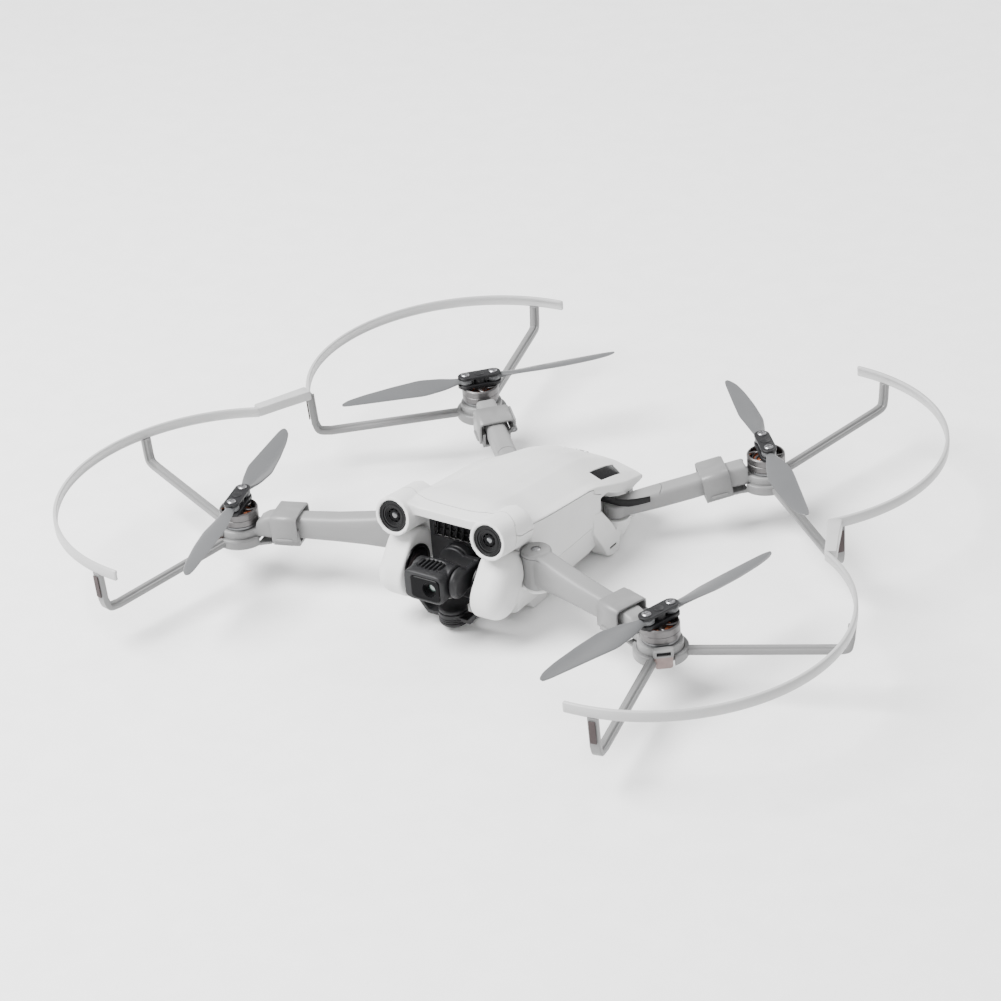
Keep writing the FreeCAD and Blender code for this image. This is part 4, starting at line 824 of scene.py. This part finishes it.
def make_lamps():
    """Battery level light pipes, and a lamp under a slotted bracket at each front motor."""
    lens_rows = ((20.0, 0.8, 3.0), (20.25, 1.25, 3.6), (21.1, 1.5, 3.95), (26.3, 1.6, 4.1))
    bracket_rows = ((25.6, 1.5, 4.2), (25.9, 1.8, 4.5), (29.0, 1.85, 4.5), (29.4, 1.5, 4.2))
    shadow_rows = ((26.65, 0.12, 3.05), (28.45, 0.12, 3.05))
    for name, side in SIDES:
        lens = stacked((10.9, 0, 0), Z, lens_rows, 4.5, 36)
        bracket = stacked((10.7, 0, 0), Z, bracket_rows, 5, 36)
        cut(bracket, block((11.3, -3.1, 26.6), (14.0, 3.1, 28.5)))
        # A thin dark sheet inside the bracket's slot is a painted shadow.
        shadow = stacked((11.35, 0, 0), Z, shadow_rows, 6, 24)
        for piece in (lens, bracket, shadow):
            piece.data.transform(at_motor(motor_of(-1), LAMP_TURN))
        placed(sided(lens, side), "front_lamp_" + name, AMBER, "status_lights")
        placed(sided(bracket, side), "front_lamp_bracket_" + name, ARM)
        placed(sided(shadow, side), "front_lamp_bracket_slot_shadow_" + name, SATIN_BLACK)
    pipe = [(0, -2.3), (0.68, -2.3), (0.68, 0.0), (0.5, 0.12), (0, 0.15)]
    pipes = [turned(pipe, spot - Z * 0.15, ROOF_NORMAL, 20) for spot in LEVEL_LIGHTS]
    placed(joined(pipes), "battery_level_light_pipes", PIPE, "status_lights")


# ---------------------------------------------------------------- motors and propellers

BLADE_Z = 40.55
PROPELLER_RADIUS = 69.5
PIVOT = 7.0
# Blade stations: share of the radius, chord, twist in degrees, thickness and sweep.
BLADE = (
    (0.150, 4.4, 3.0, 1.9, -0.1), (0.19, 6.0, 9.0, 1.5, -0.3), (0.26, 8.6, 16.0, 1.2, -0.6),
    (0.42, 12.2, 15.0, 1.0, -0.9), (0.62, 10.6, 11.0, 0.85, -0.5), (0.82, 8.0, 8.0, 0.7, 0.4),
    (0.94, 5.6, 6.0, 0.55, 1.4), (0.985, 3.6, 6.0, 0.5, 2.2), (1.0, 1.6, 6.0, 0.42, 2.7),
)


def polar(centre, radius, angle, z):
    return Vector((centre.x + radius * math.cos(angle), centre.y + radius * math.sin(angle), z))


def tangent(angle):
    return Vector((-math.sin(angle), math.cos(angle), 0))


def make_motor(name):
    """Open spoked bell over copper coils on their teeth."""
    middle = cad_middle("motor_bell_" + name)
    foot = Vector((middle.x, middle.y, 0))
    wall = [(7.9, 30.4), (8.7, 30.4), (9.0, 30.7), (9.0, 33.3), (8.85, 33.45), (9.0, 33.6), (9.0, 36.5),
            (8.5, 37.15), (7.9, 36.9)]
    core = [(0, 28.9), (1.45, 28.9), (1.45, 35.9), (3.3, 35.9), (3.3, 37.0), (2.8, 37.2), (0, 37.2)]
    spoke = [(-0.75, -0.35), (0.75, -0.35), (0.75, 0.2), (0.45, 0.4), (-0.45, 0.4), (-0.75, 0.2)]
    bell = [turned(wall, foot, steps=96), turned(core, foot, steps=48)]
    for angle in around(6):
        path, normals = [], []
        for step in range(7):
            share = step / 6
            turn = angle + 0.5 * share ** 2
            path.append(polar(middle, 2.8 + 5.4 * share, turn, 36.5 - 0.3 * share))
            normals.append(tangent(turn))
        bell.append(swept(path, spoke, normals))
    placed(joined(bell), "motor_bell_open_" + name, BELL, "motor_bell_" + name, sharp=34)
    teeth, wires = [], []
    for angle in around(9):
        out, aside = Vector((math.cos(angle), math.sin(angle), 0)), tangent(angle)
        base = foot + Z * 32.6
        for step in range(6):
            centre = base + out * (3.2 + 0.46 * step)
            rings = []
            for point in superellipse(centre, aside, Z, 0.95 + 0.12 * step, 1.75, 3, 18):
                spread = (point - centre).normalized() * 0.24
                rings.append([point + spread, point + out * 0.24, point - spread, point - out * 0.24])
            wires.append(lofted(rings, closed_path=True))
        for reach, wide, tall, length in ((6.0, 1.9, 2, 0.55), (2.6, 0.6, 1.5, 3.6)):
            outline = [base + out * reach + aside * (s * wide) + Z * (t * tall)
                       for s, t in ((-1, -1), (1, -1), (1, 1), (-1, 1))]
            teeth.append(pushed(outline, out * length))
    placed(joined(wires), "motor_coils_" + name, COPPER, "motor_windings")
    placed(joined(teeth), "motor_teeth_" + name, BASE)


def rotor_frame(name, side, end, extra=0.0):
    """Frame of a parked propeller, which lies square to its arm."""
    toward = arm_flat(end)
    turn = math.atan2(toward.y, side * toward.x) + math.pi / 2
    return at_motor(cad_middle("motor_bell_" + name), turn + extra)


def blade_ring(share, spin):
    _, chord, twist, thick, sweep = softened(BLADE, share, 0.03)
    twist = math.radians(twist * spin)
    ring = []
    for angle in around(24):
        along = 0.5 * math.cos(angle)
        up = 0.5 * math.sin(angle) * (1.15 - 0.7 * along) * thick + 0.28 * thick * (1 - 4 * along * along)
        u = (along + 0.08) * chord + sweep
        ring.append(Vector((share * PROPELLER_RADIUS, u * math.cos(twist) - up * math.sin(twist),
                            BLADE_Z + u * math.sin(twist) + up * math.cos(twist))))
    return ring


def make_propeller(name, side, end):
    shares = [0.150, 0.17] + steps_between(0.19, 0.94, 0.025) + [0.955, 0.97, 0.98, 0.99, 0.996, 1.0]
    eye_profile = [(1.26, -1.2), (3.1, -1.2), (3.4, -0.9), (3.4, 0.9), (3.1, 1.2), (1.26, 1.2)]
    neck_rows = ((1.8, 2.4, 1.05), (3.4, 2.2, 1.0), (5.6, 2.3, 0.8))
    for letter, extra in (("a", 0.0), ("b", math.pi)):
        node = "blade_%s_%s" % (letter, name)
        pivot = (PIVOT, 0, BLADE_Z)
        wing = lofted([blade_ring(share, side * end) for share in shares])
        blade = joined([wing, turned(eye_profile, pivot), stacked(pivot, X, neck_rows, 3, 24)])
        blade.data.transform(rotor_frame(name, side, end, extra))
        placed(blade, "propeller_" + node, BLADE_GREY, node, sharp=50)


def hub_plate(z0, z1, width):
    """A long round-ended plate over both blade pivots, with softened edges."""
    rings = []
    for z, shrink in ((z0, 0.25), (z0 + 0.2, 0), (z1 - 0.3, 0), (z1 - 0.08, 0.18), (z1, 0.5)):
        rings.append([
            polar(X * math.copysign(PIVOT, math.cos(angle)), width - shrink, angle, z) for angle in around(48)
        ])
    return lofted(rings)


def make_hub(name, side, end):
    """Two-plate propeller hub with domed, cross-slotted screws."""
    core = [(0, 39.0), (2.95, 39.0), (2.95, 42.1), (0, 42.1)]
    boss = [(0, 43.2), (2.4, 43.2), (2.4, 43.5), (1.9, 43.75), (0, 43.8)]
    head = [(0, 43.2), (2.1, 43.2), (2.1, 43.7), (1.7, 44.05), (0, 44.18)]
    hub = joined([hub_plate(37.2, 39.15, 3.9), hub_plate(41.95, 43.3, 3.7)]
                 + [turned(profile, (0, 0, 0), steps=40) for profile in (core, boss)])
    screws = []
    for x in (-PIVOT, PIVOT):
        slots = [block((x - a, -b, 43.75), (x + a, b, 45)) for a, b in ((1.5, 0.26), (0.26, 1.5))]
        screws.append(cut(turned(head, (x, 0, 0), steps=40), *slots))
        screws.append(drum(1.15, (x, 0, 38.0), (x, 0, 43.3), 24))
    screws = joined(screws)
    for item in (hub, screws):
        item.data.transform(rotor_frame(name, side, end))
    placed(hub, "hub_plates_" + name, HUB, "propeller_hub_" + name, sharp=34)
    placed(screws, "hub_screws_" + name, STEEL, body="rotor_" + name, sharp=34)


# ---------------------------------------------------------------- gimbal camera

PAN_AXIS_Y = -70.0
TILT_Y = -80.0
CAMERA_Z = 31.2
LENS_X = 3.8


def make_camera():
    """Rounded camera block with a ribbed cooling pad, a glossy window and a stepped lens."""
    # Place along Y, half width, half height and squareness.
    case_rows = (
        (-91.1, 9.5, 6.5, 6), (-90.7, 10.1, 7.1, 6), (-89.6, 10.4, 7.4, 5.5), (-86.0, 10.5, 7.5, 5),
        (-83.0, 10.4, 7.6, 4.4), (-79.5, 10.2, 7.6, 4), (-76.5, 9.4, 7.2, 3.4), (-74.4, 7.8, 6.2, 3),
        (-73.2, 5.6, 4.4, 2.6),
    )
    barrel = [(0, -10.4), (6.9, -10.4), (7.6, -9.7), (7.6, 9.7), (6.9, 10.3), (0, 10.3)]
    case = stacked((-0.1, 0, CAMERA_Z), Y, case_rows, steps=48)
    added(case, turned(barrel, (0, TILT_Y, CAMERA_Z), X))
    pad_room = stacked((-0.6, -82.2, 0), Z, ((38.1, 6.9, 4.6), (41, 6.9, 4.6)), 2.6, 40)
    window_room = stacked((1.5, 0, CAMERA_Z), Y, ((-93, 7.7, 5.5), (-90.5, 7.7, 5.5)), 8, 48)
    cut(case, pad_room, window_room, drum(4.0, (LENS_X, -93, CAMERA_Z), (LENS_X, -85.5, CAMERA_Z)))
    melted(case, 0.25, 4)
    seam = [polar(Vector((0, CAMERA_Z, 0)), 10, math.radians(d), 0) for d in range(30, 151, 12)]
    groove(case, [Vector((p.x * 1.06, -86.4, p.y)) for p in seam], -Z, 0.25, 0.3)
    placed(case, "camera_block", BLACK, "camera_case")
    ribs = []
    for x in steps_between(-5.9, 4.7, 2.12):
        half = 4.0 * math.sqrt(1 - ((x + 0.6) / 7.4) ** 2)
        rows = [(z, w, half * share) for z, w, share in
                ((38.0, 0.6, 1.0), (38.75, 0.52, 0.98), (39.1, 0.36, 0.93), (39.2, 0.15, 0.85))]
        ribs.append(stacked((x, -82.2, 0), Z, rows, 3, 20))
    placed(joined(ribs), "camera_cooling_ribs", BLACK, body="camera")
    pane = stacked((1.5, 0, CAMERA_Z), Y, ((-90.4, 7.6, 5.4), (-91.2, 7.6, 5.4), (-91.5, 7.35, 5.15)), 8, 48)
    cut(pane, drum(3.6, (LENS_X, -93, CAMERA_Z), (LENS_X, -89, CAMERA_Z)))
    placed(pane, "camera_front_window", GLOSS_BLACK, "camera_window")
    centre = (LENS_X, -91.0, CAMERA_Z)
    rings = [(2.3, -3.0), (2.3, -1.9), (2.6, -1.9), (2.6, -1.4), (2.95, -1.4), (2.95, -0.9), (3.3, -0.9),
             (3.45, 0.15), (3.6, 0.15), (3.6, -5.0), (2.3, -5.0)]
    placed(turned(rings, centre, -Y), "camera_lens_rings", SATIN_BLACK, "camera_lens", sharp=30)
    dome = [(0, -3.4), (2.35, -3.4)] + arc_profile(2.35, 1.0, -2.6, 15)
    placed(turned(dome, centre, -Y), "camera_lens_glass", CAMERA_GLASS, body="camera")


def make_gimbal():
    """Yoke with the pan motor, pan arm with the roll motor, and roll arm with the tilt motor."""
    outline = (
        (17.3, 29.0), (17.3, 13.0), (11.5, 6.0), (-11.5, 6.0), (-17.3, 13.0), (-17.3, 29.0),
        (-15.9, 29.0), (-15.9, 14.0), (-10.4, 8.0), (10.4, 8.0), (15.9, 14.0), (15.9, 29.0),
    )
    pan_foot = (0, PAN_AXIS_Y, 0)
    pan_motor = [(0, 2.4), (5.0, 2.4), (6.2, 2.9), (6.8, 4.0), (6.8, 9.0), (0, 9.0)]
    yoke = added(pushed([(x, PAN_AXIS_Y - 4, z) for x, z in outline], Y * 7), turned(pan_motor, pan_foot))
    melted(yoke, 0.3, 4)
    slit = [(6.3, 0), (8, 0), (8, 0.35), (6.3, 0.35)]
    cut(yoke, *[turned(slit, (0, PAN_AXIS_Y, z)) for z in (4.6, 5.6, 6.6)])
    placed(yoke, "gimbal_yoke_frame", BLACK, "gimbal_yoke")
    cap = [(0, 9.3), (6.6, 9.3), (6.6, 10.6), (6.1, 11.1), (0, 11.1)]
    roll_motor = [(0, -64.4), (7.2, -64.4), (7.8, -63.8), (7.8, -60.2), (6.6, -59), (0, -59)]
    arm = block((-4, PAN_AXIS_Y, 9.3), (4, PAN_AXIS_Y + 11, 11.1))
    added(arm, turned(cap, pan_foot), block((-4, PAN_AXIS_Y + 8.6, 9.3), (4, PAN_AXIS_Y + 11, CAMERA_Z)),
          turned(roll_motor, (0, 0, CAMERA_Z), Y))
    placed(melted(arm, 0.3, 3), "gimbal_pan_bracket", BLACK, "gimbal_pan_arm")
    disc = [(0, -67.0), (7.3, -67.0), (7.8, -66.5), (7.8, -65.1), (7.3, -64.6), (0, -64.6)]
    tilt_motor = [(0, 10.9), (6.6, 10.9), (7.3, 11.5), (7.3, 12.4), (6.8, 13.2), (5.6, 13.95), (4.0, 14.35),
                  (0, 14.5)]
    shrinks = ((12.0, 0.3), (12.4, 0), (13.6, 0), (14.2, 0.5), (14.4, 1.1))
    side_rows = [(x, 10.8 - shrink, 5.2 - shrink) for x, shrink in shrinks]
    arm = turned(disc, (0, 0, CAMERA_Z), Y)
    added(arm, block((0, -67.0, CAMERA_Z - 5.2), (13.8, -64.6, CAMERA_Z + 5.2)),
          stacked((0, -75.5, CAMERA_Z), X, side_rows, 5, 40), turned(tilt_motor, (0, TILT_Y, CAMERA_Z), X))
    placed(melted(arm, 0.3, 3), "gimbal_roll_bracket", BLACK, "gimbal_roll_arm")
    damper = [(0, 0), (9.4, 0), (9.7, 0.2), (9.7, 0.8), (9.2, 1.1), (8.4, 1.1), (8.2, 0.85), (7.4, 0.85),
              (7.2, 1.15), (3.4, 1.25), (3.2, 1.0), (0, 1.0)]
    for name, side in SIDES:
        face = turned(damper, (18.5 * side, PAN_AXIS_Y + 0.4, 27.6), X * -side)
        placed(face, "gimbal_damper_cap_" + name, SATIN_BLACK)


# ---------------------------------------------------------------- propeller guards

RING_RADIUS = 83.05
RING_OFFSET = X * 1.5
RING_Z = 42.5
# Angles in degrees that the bands cover and that the spokes take, a long leg marked True.
BANDS = {-1: (-88.0, 61.0), 1: (-41.0, 88.0)}
SPOKES = {-1: ((21.0, False), (-79.0, True)), 1: ((77.0, False), (-38.0, True))}
# Middle height, slope and half height of the arm under each strap.
STRAP_SEAT = {-1: (30.2, 0.033, 6.1), 1: (26.4, -0.17, 5.5)}
STRAP_DISTANCE = 25.0
HALF_STRAP = 6.5
HINGE_ACROSS, HINGE_UP = -8.8, 0.5


def strap_matrix(end):
    """Frame on the arm under the strap: X along the arm to the body, Y forward, Z up."""
    middle_z, slope, _ = STRAP_SEAT[end]
    flat = arm_flat(end)
    along = (flat + Z * slope).normalized()
    across = Z.cross(along).normalized()
    matrix = Matrix((along, across, along.cross(across))).transposed().to_4x4()
    matrix.translation = (motor_of(end) + Z * middle_z + flat * STRAP_DISTANCE) * MM
    return matrix


def guard_band(end):
    """One curved outer band with a rolled top lip and softened edges."""
    # Outline about the band's middle: outward and up.
    section = (
        (-0.95, -2.0), (-0.6, -2.5), (0.5, -2.5), (0.85, -2.1), (0.93, 0.0), (0.85, 2.0), (0.45, 2.45),
        (-0.65, 2.5), (-0.95, 2.15), (-0.95, 1.2), (-0.65, 0.9), (-0.65, -1.3),
    )
    start, stop = BANDS[end]
    centre = motor_of(end) + RING_OFFSET
    rings = []
    for angle in [start, start + 0.25] + steps_between(start + 0.8, stop - 0.8, 2.0) + [stop - 0.25, stop]:
        wide, tall = (0.75, 0.9) if angle in (start, stop) else (1, 1)
        rings.append([polar(centre, RING_RADIUS + r * wide, math.radians(angle), RING_Z + z * tall)
                      for r, z in section])
    return lofted(rings)


def guard_link():
    """The thicker block that ties the front band to the rear band."""
    start = polar(motor_of(-1) + RING_OFFSET, RING_RADIUS + 1.6, math.radians(BANDS[-1][1] - 1.0), RING_Z)
    finish = polar(motor_of(1) + RING_OFFSET, RING_RADIUS, math.radians(BANDS[1][0] + 1.5), RING_Z)
    across = (finish - start).normalized().cross(Z)
    # Share of the way, half width and half height.
    rows = (
        (0.0, 2.5, 2.2), (0.02, 2.8, 2.5), (0.45, 2.85, 2.5), (0.8, 3.2, 2.5), (0.98, 3.3, 2.5),
        (1.0, 3.0, 2.2),
    )
    return lofted([superellipse(start.lerp(finish, share), across, Z, w, h, 9, 32) for share, w, h in rows])


def mirrored_section(half):
    """A whole section from the (across, up) points of its right half, bottom to top."""
    return half + tuple((-across, up) for across, up in reversed(half))


def guard_spoke(end, degrees, long_leg):
    """A ribbed spoke: out under the propeller, round a bend and up to the band."""
    angle = math.radians(degrees)
    low, turn_in = (20.0, 9.0) if long_leg else (28.0, 7.5)
    outer = ((turn_in, low), (turn_in * 0.42, low + 1.0), (1.9, low + turn_in * 0.58), (1.0, RING_Z - 2.3))
    knots = [polar(motor_of(end), 11.6, angle, 23.4)]
    knots += [polar(motor_of(end) + RING_OFFSET, RING_RADIUS - inward, angle, z) for inward, z in outer]
    path = [knots[0].lerp(knots[1], k / 12) for k in range(12)] + curve_points(knots[1:4], 6)
    path += [knots[3].lerp(knots[4], k / 6) for k in range(1, 7)]
    section = mirrored_section((
        (2.0, -1.8), (2.3, -1.4), (2.3, 0.35), (2.05, 0.7), (1.25, 0.75), (1.05, 1.0), (1.05, 1.55),
        (0.8, 1.8),
    ))
    return swept(path, section, [tangent(angle)] * len(path))


def guard_clip(end):
    """Clip round the motor cup, bridged to a saddle under the arm."""
    motor, flat = motor_of(end), arm_flat(end)
    across = Z.cross(flat)
    middle_z, _, half_height = STRAP_SEAT[end]
    half_height += 0.2
    ring = turned([(9.6, 20.2), (11.8, 20.2), (12.4, 20.9), (12.4, 24.3), (12.0, 25.0), (9.6, 25.0)], motor)
    saddle = block((-HALF_STRAP, -7.0, -half_height - 1.5), (HALF_STRAP, 7.0, 0.5))
    for x0, x1 in ((-HALF_STRAP, -4.7), (4.7, HALF_STRAP)):
        added(saddle, drum(1.7, (x0, HINGE_ACROSS, HINGE_UP), (x1, HINGE_ACROSS, HINGE_UP), 32),
              block((x0, HINGE_ACROSS, HINGE_UP - 1.6), (x1, -6.6, HINGE_UP)))
    channel = block((-20, -5.5, -half_height), (20, 5.5, 10))
    pin_hole = drum(0.95, (-20, HINGE_ACROSS, HINGE_UP), (20, HINGE_ACROSS, HINGE_UP), 32)
    for item in (saddle, channel, pin_hole):
        item.data.transform(strap_matrix(end))
    near, far = flat * 10.5, flat * (STRAP_DISTANCE - HALF_STRAP + 0.4)
    far_top = middle_z - half_height - (0.35 if end < 0 else -0.35)
    corners = [(near, 20.1), (far, far_top - 1.5), (far, far_top), (near, 21.6)]
    added(ring, pushed([motor + p + Z * z - across * 5.4 for p, z in corners], across * 10.8), saddle)
    neck = ((0, -5.2), (17.6, -5.2), (17.6, 5.2), (0, 5.2))
    neck = [motor + flat * u + across * v + Z * 21.6 for u, v in neck]
    cut(ring, post(10.3, motor, 15, 40, 72), pushed(neck, Z * 12), channel, pin_hole)
    if end < 0:
        lamp_opening = block((5, -4.8, 10), (14, 4.8, 40))
        lamp_opening.data.transform(at_motor(motor, LAMP_TURN))
        cut(ring, lamp_opening)
    return melted(ring, 0.3, 3)


def strap_band(end):
    """The strap over the arm: one bent band, ridged on the hinge side, with a pull tab."""
    top = STRAP_SEAT[end][2] + 0.95
    left, right = HINGE_ACROSS, 8.0
    bend = [math.radians(d) for d in (0, 15, 35, 55, 75, 90)]
    route = [(left, 2.5), (left, top - 2.2)]
    route += [(left + 2.0 - 2.0 * math.cos(a), top - 2.0 + 2.0 * math.sin(a)) for a in bend[1:]]
    route += [(-3, top), (0, top), (3, top)]
    route += [(right - 2.0 + 2.0 * math.sin(a), top - 2.0 + 2.0 * math.cos(a)) for a in bend[:-1]]
    route += [(right, top - 2.2), (right, 0.0), (right, -4.2), (right, -4.6)]
    section = mirrored_section(((6.2, -0.65), (6.5, -0.35), (6.5, 0.35), (6.2, 0.65)))
    pieces = [swept([Vector((0, y, z)) for y, z in route], section, [X] * len(route))]
    ridge_rows = [(x, 0.5 * f, 0.38 * f) for x, f in ((-5.8, 0.5), (-5.5, 1), (5.5, 1), (5.8, 0.5))]
    pieces += [stacked((0, left - 0.75, z), X, ridge_rows, 2.4, 14) for z in (3.3, 4.5, 5.7)]
    pieces.append(drum(1.7, (-4.5, left, HINGE_UP), (4.5, left, HINGE_UP), 32))
    pieces.append(stacked((0, left, 0), Z, ((HINGE_UP, 4.5, 0.65), (3.2, 4.5, 0.65)), 8, 24))
    tab_rows = [(d, 4.2 * f, 0.62 * f) for d, f in ((0.3, 1), (1.1, 1), (1.35, 0.8))]
    pieces.append(stacked((0, right, -4.0), Y, tab_rows, 4, 28))
    item = joined(pieces)
    item.data.transform(strap_matrix(end))
    return item


def make_guards(name, side):
    bands = joined([guard_band(-1), guard_band(1), guard_link()])
    placed(sided(bands, side), "guard_band_" + name, GUARD, "guard_ring_" + name, sharp=50)
    pieces = []
    for end in (-1, 1):
        pieces.append(guard_clip(end))
        pieces += [guard_spoke(end, *spoke) for spoke in SPOKES[end]]
    placed(sided(joined(pieces), side), "guard_spokes_" + name, CLIP, "guard_frame_" + name, sharp=45)
    for end, place in ((-1, "front_"), (1, "rear_")):
        node = "guard_strap_" + place + name
        placed(sided(strap_band(end), side), node + "_band", CLIP, node, sharp=45)


# ---------------------------------------------------------------- floor, light and camera

def make_stage():
    floor = mesh_object([(x, y, 0) for x, y in ((-4000, -4000), (4000, -4000), (4000, 4000), (-4000, 4000))],
                        [(0, 1, 2, 3)])
    floor.name = "floor"
    material, tree, shader = new_material("studio_floor")
    speckle = noise(tree, object_coordinates(tree), 60.0)
    coloured(tree, shader, ramp(tree, speckle, (0.86, 0.86, 0.86), (0.89, 0.89, 0.89)))
    set_inputs(shader, Roughness=0.7)
    floor.data.materials.append(material)
    world = bpy.data.worlds.new("studio")
    world.use_nodes = True
    set_inputs(world.node_tree.nodes["Background"], Color=(1, 1, 1, 1), Strength=0.85)
    bpy.context.scene.world = world


def add_light(name, place, size, power):
    data = bpy.data.lights.new(name, "AREA")
    data.shape = "DISK"
    data.size = size
    data.energy = power
    item = linked(name, data)
    item.location = place
    item.rotation_euler = (Vector((0, 0, 0.03)) - Vector(place)).to_track_quat("-Z", "Y").to_euler()


def add_camera():
    azimuth, elevation, roll = (math.radians(a) for a in (35.13, 28.65, -4.47))
    distance, target_z = 1.5478, 0.041
    right = Vector((math.cos(azimuth), math.sin(azimuth), 0))
    back = right.cross(Z) * math.cos(elevation) + Z * math.sin(elevation)
    upward = back.cross(right)
    rolled_right = right * math.cos(roll) + upward * math.sin(roll)
    rolled_up = upward * math.cos(roll) - right * math.sin(roll)
    data = bpy.data.cameras.new("camera_view")
    data.lens = 120.4
    data.sensor_width = 36.0
    data.shift_x = -0.032
    data.shift_y = -0.021
    data.clip_end = 20.0
    item = linked("camera_view", data)
    matrix = Matrix((rolled_right, rolled_up, back)).transposed().to_4x4()
    matrix.translation = back * distance + Z * target_z
    item.matrix_world = matrix
    bpy.context.scene.camera = item


add_camera()
make_stage()
add_light("key", (-0.7, -0.7, 1.5), 1.2, 105.0)
add_light("fill", (1.2, -1.0, 0.9), 1.4, 6.0)
add_light("back", (0.1, 1.3, 1.2), 1.0, 14.0)
make_body()
make_nose_shade_and_slats()
make_feet()
make_arm_root_strips()
make_eyes()
for side_name, side_sign in SIDES:
    make_cheek(side_name, side_sign)
    make_front_arm(side_name, side_sign)
    make_rear_arm(side_name, side_sign)
    make_guards(side_name, side_sign)
make_lamps()
make_hinge_pins()
for corner in CORNERS:
    make_motor(corner[0])
    make_propeller(*corner)
    make_hub(*corner)
make_camera()
make_gimbal()
# Small CAD parts that keep their shape and get rounded edges of these widths.
for kept_node, edge_width in {
    "rear_sensor_windows": 0.2, "tail_ports": 0.1, "battery_tail_cap": 0.4, "battery_latch_left": 0.2,
    "battery_latch_right": 0.2, "power_button": 0.15, "rubber_pads": 0.12, "battery_pack": 0.4,
    "belly_windows": 0.15, "motor_bases": 0.15,
}.items():
    refined(kept_node, edge_width)
